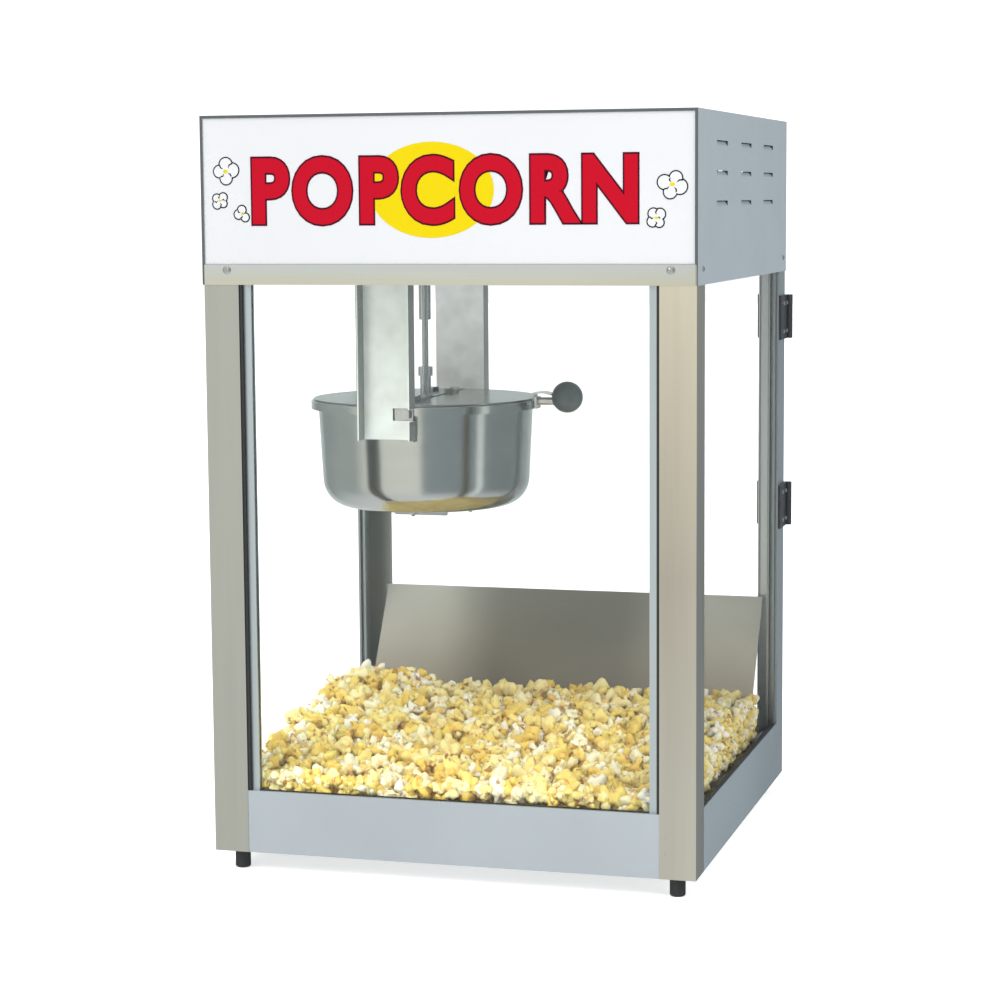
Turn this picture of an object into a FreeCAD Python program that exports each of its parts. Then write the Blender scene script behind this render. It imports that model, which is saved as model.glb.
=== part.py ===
import FreeCAD, Part
import os
from itertools import count
from types import SimpleNamespace

import Sketcher

# Counter-top popcorn cart. X runs to the right, Y to the back and Z up, in millimetres.
# The origin is on the counter, at the middle of the cabinet.

DRIVING = {
    # cabinet
    "half_width": 254,
    "half_depth": 254,
    "foot_height": 21,
    "foot_radius": 8,
    "foot_across": 231.5,
    "foot_along": 234,
    "post_face": 37,
    "rear_post_face": 29,
    "post_flange": 40,
    "post_return": 5,
    "plate": 1.2,
    "post_top": 627,
    "apron_height": 65,
    "head_bottom": 607,
    "rail_height": 20.5,
    "head_top": 776.4,
    "cover_overhang": 1.2,
    "lip": 3,
    "sheet_set": 0.4,
    "apron_upper_flange": 6.2,
    "apron_lower_flange": 4.8,
    "rail_hem": 2.5,
    "rail_shelf": 18,
    "rail_foot": 5.2,
    "foot_bore": 3,
    "screw_radius": 2.95,
    "screw_hole": 3.1,
    # glazing
    "pane": 3,
    "channel_width": 8,
    "channel_depth": 8.6,
    "front_recess": 5.4,
    "side_recess": 2.4,
    "seal_width": 3,
    "pane_play": 0.2,
    "channel_web": 2,
    "sill_rise": 1.6,
    # floor of the case
    "deck_height": 76,
    "deck_front": 239,
    "deck_back": 165,
    "deck_half": 243.6,
    "slot_pitch_x": 38,
    "slot_pitch_y": 32,
    "slot_long": 24,
    "slot_wide": 4,
    "ramp_top_y": 244,
    "ramp_top_z": 229,
    "ramp_slope": 0.598,
    "ramp_left": -226,
    "ramp_right": 232,
    "heap_half": 240,
    "heap_front": 103,
    "heap_middle_y": -60,
    "heap_middle": 122,
    "heap_back": 130,
    "heap_gap": 3,
    # old-maid drawer
    "drawer_half": 150,
    "drawer_floor": 28,
    "drawer_top": 66,
    "drawer_reach": -60,
    "drawer_back": 253.4,
    "drawer_wall": 1,
    "drawer_face_half": 160,
    "drawer_face_low": 24,
    "drawer_face_high": 73,
    "runner_width": 6,
    "pull_half": 28,
    "pull_low": 41,
    "pull_high": 57,
    "pull_out": 8,
    "strip": 1.5,
    # kettle
    "kettle_x": -100,
    "pivot_x": -84,
    "pivot_z": 467.5,
    "jacket_radius": 118,
    "jacket_taper": 6,
    "jacket_bottom": 358,
    "jacket_corner": 30,
    "rim_radius": 125.5,
    "rim_z": 474.5,
    "rim_lip": 9,
    "pan_radius": 111,
    "pan_floor": 376,
    "pan_wall": 1.5,
    "lid_radius": 122.5,
    "lid_gap": 12,
    "flap_axis": 14,
    "flap_rise": 5.5,
    "crossbar_half": 9,
    "crossbar_plate": 2.5,
    "flap_spot": 60,
    "flap_pin": 1.2,
    "shaft_radius": 3.5,
    "shaft_top": 610,
    "tongue_top": 621,
    "tongue_half": 3,
    "tongue_thin": 1.4,
    "bushing_radius": 6,
    "bushing_height": 22,
    "collar_radius": 8,
    "collar_height": 10,
    "blade_reach": 98,
    "stirrer_spot": 60,
    "hub_radius": 9,
    "sleeve_bottom": 561,
    "sleeve_top": 606,
    "sleeve_radius": 6.5,
    "running": 0.05,
    "knob_x": 60.3,
    "knob_z": 478,
    "knob_radius": 17,
    "rod_z": 473.4,
    "rod_radius": 4.2,
    "grip_half": 9,
    "strap": 1.6,
    "element_radius": 70,
    "element_wire": 4.5,
    "nut_spot": 50,
    # hangers
    "hanger_web_y": 130,
    "hanger_left": -128,
    "hanger_right": -71,
    "hanger_bottom": 441,
    "hanger_flange": 20,
    "hanger_plate": 1.5,
    "notch_left": -95,
    "notch_low": 461,
    "notch_high": 474,
    "trunnion_radius": 6.3,
    "bracket_half": 10,
    "bracket_low": 438,
    # head fittings
    "ceiling": 625,
    "coupling_bottom": 613,
    "coupling_radius": 8,
    "drive_radius": 5,
    "drive_rise": 26,
    "gearbox_half_x": 36,
    "gearbox_half_y": 30,
    "gearbox_height": 34,
    "motor_radius": 28,
    "motor_height": 66,
    "lamp_x": 120,
    "lamp_z": 668,
    "lamp_radius": 25,
    "lamp_opening": 34,
    "socket_radius": 17,
    "bulb_neck": 13,
    "switch_z": 690,
    "switch_half_x": 7.4,
    "switch_half_z": 12.5,
    "rocker_half": 6,
    "rocker_pin": 1.2,
    "gland_x": -190,
    "gland_z": 650,
    "gland_radius": 6.5,
    "gland_bore": 4,
    "vent_x": 80,
    "vent_z": 670,
    "louver_long": 58,
    "louver_pitch": 29.8,
    "louver_row": 133,
    "louver_top": 747.6,
    # rear door
    "door_left": -236,
    "door_right": 253.4,
    "door_bottom": 92,
    "door_top": 604,
    "hinge_axis": 258.5,
    "hinge_radius": 4,
    "hinge_height": 50,
    "hinge_upper": 554.8,
    "hinge_lower": 338,
    "hinge_pin": 1.8,
    "leaf": 3,
    "post_leaf_start": 214,
    "door_leaf_start": 222,
    "leaf_screw": 2.2,
    "door_pull_left": -222,
    "door_pull_right": -156,
    "door_pull_low": 312,
    "magnet_low": 330,
    "magnet_high": 370,
    "magnet_width": 12,
}

doc = FreeCAD.newDocument("popcorn_cart")
sheet = doc.addObject("Spreadsheet::Sheet", "sizes")
for row, (alias, number) in enumerate(DRIVING.items(), start=1):
    sheet.set(f"A{row}", alias)
    sheet.set(f"B{row}", str(number))
    sheet.setAlias(f"B{row}", alias)
doc.recompute()


class Size:
    """A length that carries its number and the sheet expression that it comes from."""

    def __init__(self, text, number):
        self.text = text
        self.number = number

    def __add__(self, other):
        return combine(self, "+", other)

    def __radd__(self, other):
        return combine(other, "+", self)

    def __sub__(self, other):
        return combine(self, "-", other)

    def __rsub__(self, other):
        return combine(other, "-", self)

    def __mul__(self, other):
        return combine(self, "*", other)

    def __rmul__(self, other):
        return combine(other, "*", self)

    def __truediv__(self, other):
        return combine(self, "/", other)

    def __neg__(self):
        return combine(0, "-", self)


def as_size(value):
    """A plain number as a Size; a Size stays as it is."""
    if isinstance(value, Size):
        return value
    return Size(f"({value:.6f})", float(value))


def combine(first, sign, second):
    """The sum, difference, product or quotient of two lengths."""
    one, two = as_size(first), as_size(second)
    if sign == "+":
        number = one.number + two.number
    elif sign == "-":
        number = one.number - two.number
    elif sign == "*":
        number = one.number * two.number
    else:
        number = one.number / two.number
    return Size(f"({one.text} {sign} {two.text})", number)


dim = SimpleNamespace(**{alias: Size(f"sizes.{alias}", number) for alias, number in DRIVING.items()})

# --------------------------------------------------------------------------- building blocks

TURN_TO = {
    "x": FreeCAD.Rotation(FreeCAD.Vector(0, 1, 0), 90),
    "y": FreeCAD.Rotation(FreeCAD.Vector(1, 0, 0), -90),
    "z": FreeCAD.Rotation(),
}
PLANE_NORMAL = {"XY_Plane": 1, "XZ_Plane": -1, "YZ_Plane": 1}
past = 1  # how far a cutting block runs past the face that it opens
numbers = count(1)


def spare_name(stem):
    return f"{stem}_{next(numbers)}"


def bind(item, **sizes):
    for path, value in sizes.items():
        item.setExpression(path, as_size(value).text)


def place(item, x, y, z):
    for axis, value in zip("xyz", (x, y, z)):
        item.setExpression(f"Placement.Base.{axis}", as_size(value).text)


def block(x, y, z):
    """A box between two values along each axis."""
    item = doc.addObject("Part::Box", spare_name("block"))
    bind(item, Length=x[1] - as_size(x[0]), Width=y[1] - as_size(y[0]), Height=z[1] - as_size(z[0]))
    place(item, x[0], y[0], z[0])
    return item


def rod(axis, start, radius, length):
    """A cylinder that runs from start along the positive axis."""
    item = doc.addObject("Part::Cylinder", spare_name("rod"))
    bind(item, Radius=radius, Height=length)
    item.Placement = FreeCAD.Placement(FreeCAD.Vector(), TURN_TO[axis])
    place(item, *start)
    return item


def ball(centre, radius, axis="z"):
    """A sphere whose poles lie along an axis."""
    item = doc.addObject("Part::Sphere", spare_name("ball"))
    bind(item, Radius=radius)
    item.Placement = FreeCAD.Placement(FreeCAD.Vector(), TURN_TO[axis])
    place(item, *centre)
    return item


def prism(centre, corner_radius, height):
    """A hexagonal prism, standing on its centre point."""
    item = doc.addObject("Part::Prism", spare_name("prism"))
    item.Polygon = 6
    bind(item, Circumradius=corner_radius, Height=height)
    place(item, *centre)
    return item


def fuse(parts):
    item = doc.addObject("Part::MultiFuse", spare_name("fused"))
    item.Shapes = parts
    item.Refine = True
    return item


def group(parts):
    """Separate solids kept in one piece of the document."""
    item = doc.addObject("Part::Compound", spare_name("group"))
    item.Links = parts
    return item


def cut(base, tools):
    item = doc.addObject("Part::Cut", spare_name("cut"))
    item.Base = base
    item.Tool = tools[0] if len(tools) == 1 else group(tools)
    return item


def common(first, second):
    item = doc.addObject("Part::MultiCommon", spare_name("common"))
    item.Shapes = [first, second]
    return item


def fix_corner(sketch, index, across, up):
    """Tie one corner of an outline to the sheet."""
    for kind, value, line in (("DistanceX", across, -2), ("DistanceY", up, -1)):
        size = as_size(value)
        if size.number == 0:
            sketch.addConstraint(Sketcher.Constraint("PointOnObject", index, 1, line))
            continue
        number = sketch.addConstraint(Sketcher.Constraint(kind, -1, 1, index, 1, size.number))
        sketch.setExpression(f"Constraints[{number}]", size.text)


def outline(body, plane, corners, offset=0):
    """A closed sketch through the corners, on one of the body's own planes."""
    sketch = body.newObject("Sketcher::SketchObject", spare_name("outline"))
    role = {item.Role: item for item in body.Origin.OriginFeatures}
    sketch.AttachmentSupport = [(role[plane], "")]
    sketch.MapMode = "FlatFace"
    bind(sketch, **{"AttachmentOffset.Base.z": as_size(offset) * PLANE_NORMAL[plane]})
    points = [FreeCAD.Vector(as_size(a).number, as_size(b).number, 0) for a, b in corners]
    last = len(points) - 1
    for index, point in enumerate(points):
        sketch.addGeometry(Part.LineSegment(point, points[(index + 1) % len(points)]), False)
    for index in range(len(points)):
        follower = 0 if index == last else index + 1
        sketch.addConstraint(Sketcher.Constraint("Coincident", index, 2, follower, 1))
    for index, (across, up) in enumerate(corners):
        fix_corner(sketch, index, across, up)
    return sketch


def extrude(plane, corners, start, end, name=None):
    """A padded outline between two values along the plane's axis."""
    body = doc.addObject("PartDesign::Body", name or spare_name("pad_body"))
    forward = PLANE_NORMAL[plane] > 0
    sketch = outline(body, plane, corners, start if forward else end)
    pad = body.newObject("PartDesign::Pad", spare_name("pad"))
    pad.Profile = sketch
    bind(pad, Length=end - as_size(start))
    body.Tip = pad
    return body


def revolve(corners, centre):
    """An outline of radius and height, turned about the vertical line through centre."""
    body = doc.addObject("PartDesign::Body", spare_name("turned_body"))
    sketch = outline(body, "XZ_Plane", corners)
    turned = body.newObject("PartDesign::Revolution", spare_name("turned"))
    turned.Profile = sketch
    turned.ReferenceAxis = (sketch, ["V_Axis"])
    turned.Angle = 360
    body.Tip = turned
    place(body, centre[0], centre[1], 0)
    return body


def round_edges(body, wanted, radius):
    """Fillet the edges of a body's tip that the wanted test picks."""
    doc.recompute()
    base = body.Tip
    names = [f"Edge{n}" for n, edge in enumerate(base.Shape.Edges, start=1) if wanted(edge)]
    fillet = body.newObject("PartDesign::Fillet", spare_name("fillet"))
    fillet.Base = (base, names)
    bind(fillet, Radius=radius)
    body.Tip = fillet


def circle_at(edge, radius, height):
    """True for a level circle of this radius and height, to 0.01 mm."""
    curve = edge.Curve
    if not isinstance(curve, Part.Circle):
        return False
    near_radius = abs(curve.Radius - as_size(radius).number) < 0.01
    return near_radius and abs(edge.BoundBox.Center.z - as_size(height).number) < 0.01


NODES = []


def node(item, label):
    """Name a finished sub-part; its label is also its file's name."""
    item.Label = label
    NODES.append(item)
    return item

# --------------------------------------------------------------------------- cabinet frame

SIDES = {"left": -1, "right": 1}
ENDS = {"front": -1, "rear": 1}
base_z = dim.foot_height
apron_top = dim.foot_height + dim.apron_height
rail_top = dim.head_bottom + dim.rail_height
post_inner_x = dim.half_width - dim.post_face
rear_inner_x = dim.half_width - dim.rear_post_face
INNER_X = {"front": post_inner_x, "rear": rear_inner_x}
post_inner_y = dim.half_depth - dim.post_flange
weld_x, weld_radius, weld_depth = post_inner_x + 7, 1.6, 0.3
WELD_HEIGHTS = (47.5, 64)


def spans(side, near, far):
    """A span between two distances from the middle, on the side with this sign."""
    return (near, far) if side > 0 else (-as_size(far), -as_size(near))


def make_post(side, end):
    """A folded corner angle with a narrow return along each leg."""
    sx, sy = SIDES[side], ENDS[end]
    out_x, out_y = dim.half_width, dim.half_depth
    leg_x, leg_y = INNER_X[end], post_inner_y
    t, back = dim.plate, dim.post_return
    corners = [
        (out_x, out_y), (leg_x, out_y), (leg_x, out_y - back), (leg_x + t, out_y - back),
        (leg_x + t, out_y - t), (out_x - t, out_y - t), (out_x - t, leg_y + t),
        (out_x - back, leg_y + t), (out_x - back, leg_y), (out_x, leg_y),
    ]
    mirrored = [(x * sx, y * sy) for x, y in corners]
    return extrude("XY_Plane", mirrored, base_z, dim.post_top, f"post_{end}_{side}_sheet")


def add_weld_marks(post):
    """The two small dimples where the front apron is welded behind the right post."""
    marks = [
        rod("y", (weld_x, -dim.half_depth - past, z), weld_radius, past + weld_depth)
        for z in WELD_HEIGHTS
    ]
    return cut(post, marks)


def make_apron(end):
    """The low sheet between two posts, with a flange in at its top and bottom."""
    sy = ENDS[end]
    t = dim.plate
    face = dim.half_depth - dim.sheet_set
    upper, lower = face - dim.apron_upper_flange, face - dim.apron_lower_flange
    corners = [
        (face, base_z), (face, apron_top), (upper, apron_top), (upper, apron_top - t),
        (face - t, apron_top - t), (face - t, base_z + t), (lower, base_z + t), (lower, base_z),
    ]
    mirrored = [(y * sy, z) for y, z in corners]
    return extrude("YZ_Plane", mirrored, -INNER_X[end], INNER_X[end], f"{end}_apron_sheet")


def make_rear_apron():
    """The rear sheet, with the mouth that the old-maid drawer slides through."""
    beside, below, above = 2, 1, 3
    reach = dim.drawer_half + beside
    mouth = block((-reach, reach), (post_inner_y, dim.half_depth + past),
                  (dim.drawer_floor - below, dim.drawer_top + above))
    return cut(make_apron("rear"), [mouth])


def make_side_rail(side):
    """The low sheet along one side, with a ledge inside that carries the deck."""
    sx = SIDES[side]
    t = dim.plate
    face, ledge = dim.half_width, dim.deck_height
    hem, shelf, foot = face - dim.rail_hem, face - dim.rail_shelf, face - dim.rail_foot
    corners = [
        (face, base_z), (face, apron_top), (hem, apron_top), (hem, apron_top - t),
        (face - t, apron_top - t), (face - t, ledge), (shelf, ledge), (shelf, ledge - t),
        (face - t, ledge - t), (face - t, base_z + t), (foot, base_z + t), (foot, base_z),
    ]
    mirrored = [(x * sx, z) for x, z in corners]
    return extrude("XZ_Plane", mirrored, -post_inner_y, post_inner_y, f"side_rail_{side}_sheet")


for end in ENDS:
    for side in SIDES:
        post = make_post(side, end)
        welded = (side, end) == ("right", "front")
        node(add_weld_marks(post) if welded else post, f"post_{end}_{side}")

node(make_apron("front"), "front_apron")
node(make_rear_apron(), "rear_apron")
for side in SIDES:
    node(make_side_rail(side), f"side_rail_{side}")

FOOT_SPOTS = [(dim.foot_across * sx, dim.foot_along * sy) for sx in (-1, 1) for sy in (-1, 1)]


def make_base_pan():
    """The floor sheet with its two drawer runners and the holes for the feet."""
    edge = dim.half_width - dim.rail_foot
    floor_top = base_z + dim.plate
    floor = block((-edge, edge), (-edge, edge), (base_z, floor_top))
    inset, short = 4, 9
    starts = (-dim.drawer_half + inset, dim.drawer_half - inset - dim.runner_width)
    runners = [
        block((low, low + dim.runner_width), (dim.drawer_reach, dim.half_depth - short),
              (floor_top, dim.drawer_floor))
        for low in starts
    ]
    holes = [rod("z", (x, y, base_z - past), dim.screw_hole, dim.plate + 2 * past) for x, y in FOOT_SPOTS]
    return cut(fuse([floor] + runners), holes)


node(make_base_pan(), "base_pan")

tread_round = 2.5
bore_bottom = 7
screw_bottom = 8


def make_foot(x, y):
    """A rubber foot with a rounded tread and a bore for its screw."""
    body = revolve([(0, 0), (dim.foot_radius, 0), (dim.foot_radius, base_z), (0, base_z)], (x, y))
    round_edges(body, lambda edge: circle_at(edge, dim.foot_radius, 0), tread_round)
    return cut(body, [rod("z", (x, y, bore_bottom), dim.foot_bore, base_z)])


def make_foot_screw(x, y):
    """The screw up through a foot, with its nut on the floor sheet."""
    nut_radius, nut_height = 5.2, 4
    floor_top = base_z + dim.plate
    shank = rod("z", (x, y, screw_bottom), dim.screw_radius, floor_top - screw_bottom + nut_height)
    return fuse([shank, prism((x, y, floor_top), nut_radius, nut_height)])


node(group([make_foot(x, y) for x, y in FOOT_SPOTS]), "rubber_feet")

# --------------------------------------------------------------------------- glazing

front_y = -(dim.half_depth - dim.front_recess)
side_x = dim.half_width - dim.side_recess
seal_edge = post_inner_x - dim.seal_width
channel_edge = seal_edge - dim.channel_width
channel_top = dim.head_bottom + 16
glass_bottom = dim.foot_height + 58


def pane_span(outer_face, side, play):
    """The pane's thickness within a channel whose outer face is at this distance."""
    middle = outer_face - dim.channel_depth / 2
    half = dim.pane / 2 + play
    return spans(side, middle - half, middle + half)


groove_across = (channel_edge - past, seal_edge - dim.channel_web)
groove_up = (apron_top - past, channel_top + past)


def make_front_channel(side):
    outer = block(spans(side, channel_edge, seal_edge), (front_y, front_y + dim.channel_depth),
                  (apron_top, channel_top))
    groove = block(spans(side, *groove_across), pane_span(-front_y, -1, dim.pane_play), groove_up)
    return cut(outer, [groove])


def make_side_channel(side, end):
    outer = block(spans(side, side_x - dim.channel_depth, side_x), spans(end, channel_edge, seal_edge),
                  (apron_top, channel_top))
    groove = block(pane_span(side_x, side, dim.pane_play), spans(end, *groove_across), groove_up)
    return cut(outer, [groove])


pane_reach = seal_edge - dim.channel_web - 0.5
pane_height = (glass_bottom, channel_top)
node(block((-pane_reach, pane_reach), pane_span(-front_y, -1, 0), pane_height), "glass_front")
node(group([make_front_channel(side) for side in (-1, 1)]), "front_glazing_channels")
for name, side in SIDES.items():
    node(block(pane_span(side_x, side, 0), (-pane_reach, pane_reach), pane_height), f"glass_{name}")
    node(group([make_side_channel(side, end) for end in (-1, 1)]), f"{name}_glazing_channels")


def make_seals():
    """Black strips between the posts and the front channels, and along the three sills."""
    heights = (apron_top, apron_top + dim.sill_rise)
    gap, reach = 0.2, channel_edge - 0.5
    upright_y = (front_y - 4, front_y + 6.5)
    uprights = [
        block(spans(side, seal_edge, post_inner_x - gap), upright_y, (apron_top, dim.head_bottom))
        for side in (-1, 1)
    ]
    front_heights = (apron_top, apron_top + 0.6)
    front = block((-reach, reach), (front_y - dim.sill_rise, pane_span(-front_y, -1, 0)[0]), front_heights)
    sills = [
        block(spans(side, pane_span(side_x, 1, 0)[1], dim.half_width - dim.plate), (-reach, reach), heights)
        for side in (-1, 1)
    ]
    return group(uprights + [front] + sills)


node(make_seals(), "glazing_seals")

# --------------------------------------------------------------------------- floor of the case

deck_top = dim.deck_height + dim.plate
SLOT_COLUMNS = range(-5, 6)
SLOT_ROWS = range(-6, 4)


def make_deck():
    """The sifting floor: unpopped corn drops through its slots into the drawer."""
    half = dim.deck_half
    deck = block((-half, half), (-dim.deck_front, dim.deck_back), (dim.deck_height, deck_top))
    slots = []
    for column in SLOT_COLUMNS:
        for row in SLOT_ROWS:
            x, y = dim.slot_pitch_x * column, dim.slot_pitch_y * row
            slots.append(block((x - dim.slot_long / 2, x + dim.slot_long / 2),
                               (y - dim.slot_wide / 2, y + dim.slot_wide / 2),
                               (dim.deck_height - past, deck_top + past)))
    return cut(deck, slots)


node(make_deck(), "corn_deck")


def ramp_y(z):
    """Where the ramp's back face is at a height."""
    return dim.ramp_top_y - (dim.ramp_top_z - z) * dim.ramp_slope


def make_ramp():
    """The sloped plate at the back that sends popped corn forward, with two hooks."""
    t = dim.plate
    top, low = dim.ramp_top_z, deck_top + 0.1
    hook_half, hook_drop, hook_lap = 4, 8, 2
    corners = [(ramp_y(top), top), (ramp_y(low), low), (ramp_y(low) - t, low), (ramp_y(top) - t, top)]
    plate = extrude("YZ_Plane", corners, dim.ramp_left, dim.ramp_right)
    hooks = [
        block((x - hook_half, x + hook_half),
              (dim.ramp_top_y - hook_lap, dim.half_depth - dim.post_return), (top - hook_drop, top - t))
        for x in (-rear_inner_x, rear_inner_x)
    ]
    return fuse([plate] + hooks)


node(make_ramp(), "rear_ramp")

heap_floor = deck_top + 0.3
heap_corners = [
    (-dim.deck_front, heap_floor), (-dim.deck_front, dim.heap_front), (dim.heap_middle_y, dim.heap_middle),
    (ramp_y(dim.heap_back) - dim.heap_gap, dim.heap_back),
    (ramp_y(heap_floor) - dim.heap_gap, heap_floor),
]
node(extrude("YZ_Plane", heap_corners, -dim.heap_half, dim.heap_half), "popcorn_heap")

# --------------------------------------------------------------------------- old-maid drawer

drawer_face_y = dim.half_depth + 1


def make_drawer():
    """An open tray behind a wider front plate."""
    half, wall = dim.drawer_half, dim.drawer_wall
    low, high = dim.drawer_floor, dim.drawer_top
    outer = block((-half, half), (dim.drawer_reach, dim.drawer_back), (low, high))
    inner = block((-half + wall, half - wall), (dim.drawer_reach + wall, dim.drawer_back - wall),
                  (low + wall, high + past))
    face = block((-dim.drawer_face_half, dim.drawer_face_half), (dim.half_depth - 0.3, drawer_face_y),
                 (dim.drawer_face_low, dim.drawer_face_high))
    joint = block((-half, half), (dim.drawer_back - wall, dim.half_depth), (low + 2, high - 2))
    return fuse([cut(outer, [inner]), joint, face])


def make_bent_pull(foot_y, out, thin, low, high, rise, left, right):
    """A strip bent out of a face and turned up, with a finger space behind it."""
    far = foot_y + out
    corners = [(foot_y, low), (far, low + rise), (far, high), (far - thin, high),
               (far - thin, low + rise + thin), (foot_y, low + thin)]
    return extrude("YZ_Plane", corners, left, right)


node(make_drawer(), "old_maid_drawer")
node(make_bent_pull(drawer_face_y, dim.pull_out, dim.strip, dim.pull_low, dim.pull_high, 2,
                    -dim.pull_half, dim.pull_half), "drawer_pull")

# --------------------------------------------------------------------------- head

cover_x = dim.half_width + dim.cover_overhang
cover_front = -(dim.half_depth + 1.4)
back = dim.half_depth


def make_header_rail():
    reach, inside = dim.half_width - 1, post_inner_x - 1
    flange = 3.5
    front = block((-reach, reach), (cover_front, -dim.half_depth), (dim.head_bottom, rail_top))
    foot = block((-inside, inside), (-dim.half_depth, -dim.half_depth + flange),
                 (dim.head_bottom, dim.head_bottom + dim.plate))
    return fuse([front, foot])


def make_sign():
    reach, gap, thick = dim.half_width - 0.5, 0.2, 2.6
    start = cover_front + dim.plate
    return block((-reach, reach), (start, start + thick), (rail_top + gap, dim.head_top - dim.plate - gap))


LOUVER_COLUMNS = (-1, 0, 1)
LOUVER_ROWS = range(3)
slit_drop = 5


def make_louver(side, along, top):
    """A flap pressed inwards, open along its upper edge."""
    half = dim.louver_long / 2 - 0.5
    low = as_size(top) - slit_drop - 0.6
    tip = as_size(top) - 0.6
    corners = [(cover_x - 0.2, low), (cover_x - 0.2, low + 0.9), (cover_x - 2.8, tip), (cover_x - 3.8, tip),
               (cover_x - 1.2, low)]
    mirrored = [(x * side, height) for x, height in corners]
    return extrude("XZ_Plane", mirrored, along - half, along + half)


def make_louver_slit(side, along, top):
    half = dim.louver_long / 2
    return block(spans(side, cover_x - dim.plate - past, cover_x + 0.1), (along - half, along + half),
                 (top - slit_drop, top))


def make_head_cover():
    """One sheet bent over the top and down both sides, with pressed louvers."""
    t, top, low = dim.plate, dim.head_top, dim.head_bottom
    inner = cover_x - t
    corners = [(-cover_x, low), (-cover_x, top), (cover_x, top), (cover_x, low),
               (inner, low), (inner, top - t), (-inner, top - t), (-inner, low)]
    shell = extrude("XZ_Plane", corners, cover_front, back)
    lip_y = (cover_front, cover_front + t)
    lips = [block(spans(side, cover_x - dim.lip, cover_x), lip_y, (rail_top + 0.2, top)) for side in (-1, 1)]
    lips.append(block((-cover_x, cover_x), lip_y, (top - dim.lip, top)))
    spots = [
        (side, dim.louver_row * column, dim.louver_top - dim.louver_pitch * row)
        for side in (-1, 1) for column in LOUVER_COLUMNS for row in LOUVER_ROWS
    ]
    slits = [make_louver_slit(*spot) for spot in spots]
    return fuse([cut(fuse([shell] + lips), slits)] + [make_louver(*spot) for spot in spots])


VENT_ROWS, VENT_COLUMNS = 3, 6
vent_pitch_x, vent_pitch_z, vent_wide, vent_tall = 24, 22, 5, 14
SWITCH_XS = {"heat": -60, "motor": -20, "light": 20}


def make_rear_panel():
    """The back of the head, with openings for the switches, the lead and cooling air."""
    t = dim.plate
    inside = rear_inner_x - 0.2
    panel = block((-dim.half_width, dim.half_width), (back - t, back), (dim.post_top, dim.head_top - t))
    strip = block((-inside, inside), (back - t, back), (dim.head_bottom, dim.post_top))
    through = (back - t - past, back + past)
    holes = [
        block((x - dim.switch_half_x, x + dim.switch_half_x), through,
              (dim.switch_z - dim.switch_half_z, dim.switch_z + dim.switch_half_z))
        for x in SWITCH_XS.values()
    ]
    holes.append(rod("y", (dim.gland_x, through[0], dim.gland_z), dim.gland_radius + 0.1, t + 2 * past))
    for row in range(VENT_ROWS):
        for column in range(VENT_COLUMNS):
            x, z = dim.vent_x + column * vent_pitch_x, dim.vent_z + row * vent_pitch_z
            holes.append(block((x, x + vent_wide), through, (z, z + vent_tall)))
    return cut(fuse([panel, strip]), holes)


def make_ceiling():
    """The sheet under the head, open for the lamp and for the agitator's drive."""
    edge = dim.half_width - dim.front_recess - 0.2
    low, deep = dim.ceiling - past, dim.plate + 2 * past
    pan = block((-edge, edge), (-edge, edge), (dim.ceiling, dim.ceiling + dim.plate))
    lamp_hole = rod("z", (dim.lamp_x, 0, low), dim.lamp_opening, deep)
    drive_hole = rod("z", (dim.kettle_x, 0, low), dim.coupling_radius + 2, deep)
    return cut(pan, [lamp_hole, drive_hole])


node(make_header_rail(), "header_rail")
node(make_sign(), "sign_panel")
node(make_head_cover(), "head_cover")
node(make_rear_panel(), "head_rear_panel")
node(make_ceiling(), "ceiling_pan")

DIRECTION = {"x": (1, 0, 0), "y": (0, 1, 0)}
screw_deep, screw_high, recess_deep = 5, 2, 1.1


def make_screw(axis, spot, outward, head_radius):
    """A pan-head screw on the surface at spot, with a domed head and a cross recess."""

    def along(distance):
        return [as_size(value) + distance * outward * step for value, step in zip(spot, DIRECTION[axis])]

    dome_radius = head_radius * 1.5
    flat = rod(axis, along(0 if outward > 0 else screw_high), head_radius, screw_high)
    head = common(flat, ball(along(screw_high - dome_radius), dome_radius, axis))
    root = 0.5
    shank = rod(axis, along(-screw_deep if outward > 0 else root), head_radius * 0.45, screw_deep + root)
    x, y, z = spot
    face = as_size(x if axis == "x" else y)
    near, far = screw_high - recess_deep, screw_high + past
    deep = (face + near, face + far) if outward > 0 else (face - far, face - near)
    long, thin = head_radius * 0.55, head_radius * 0.13
    arms = []
    for across, up in ((long, thin), (thin, long)):
        height = (z - up, z + up)
        if axis == "x":
            arms.append(block(deep, (y - across, y + across), height))
        else:
            arms.append(block((x - across, x + across), deep, height))
    return cut(fuse([head, shank]), arms)


rail_screw_x, rail_screw_z = 228.6, 622
cover_screw_y, cover_screw_z = 231, 622.5
panel_screw_x, PANEL_SCREW_HEIGHTS = 240, (640, 755)
rail_screws = [
    make_screw("y", (x, cover_front, rail_screw_z), -1, 4.4) for x in (-rail_screw_x, rail_screw_x)
]
cover_screws = [
    make_screw("x", (cover_x * side, y, cover_screw_z), side, 3)
    for side in (-1, 1) for y in (-cover_screw_y, cover_screw_y)
]
panel_screws = [
    make_screw("y", (x, back, z), 1, 3) for x in (-panel_screw_x, panel_screw_x) for z in PANEL_SCREW_HEIGHTS
]
node(group(rail_screws + cover_screws + panel_screws), "casing_screws")

# --------------------------------------------------------------------------- head fittings

kx = dim.kettle_x
ceiling_top = dim.ceiling + dim.plate
gearbox_top = ceiling_top + dim.gearbox_height
drive_top = ceiling_top + dim.drive_rise


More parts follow.
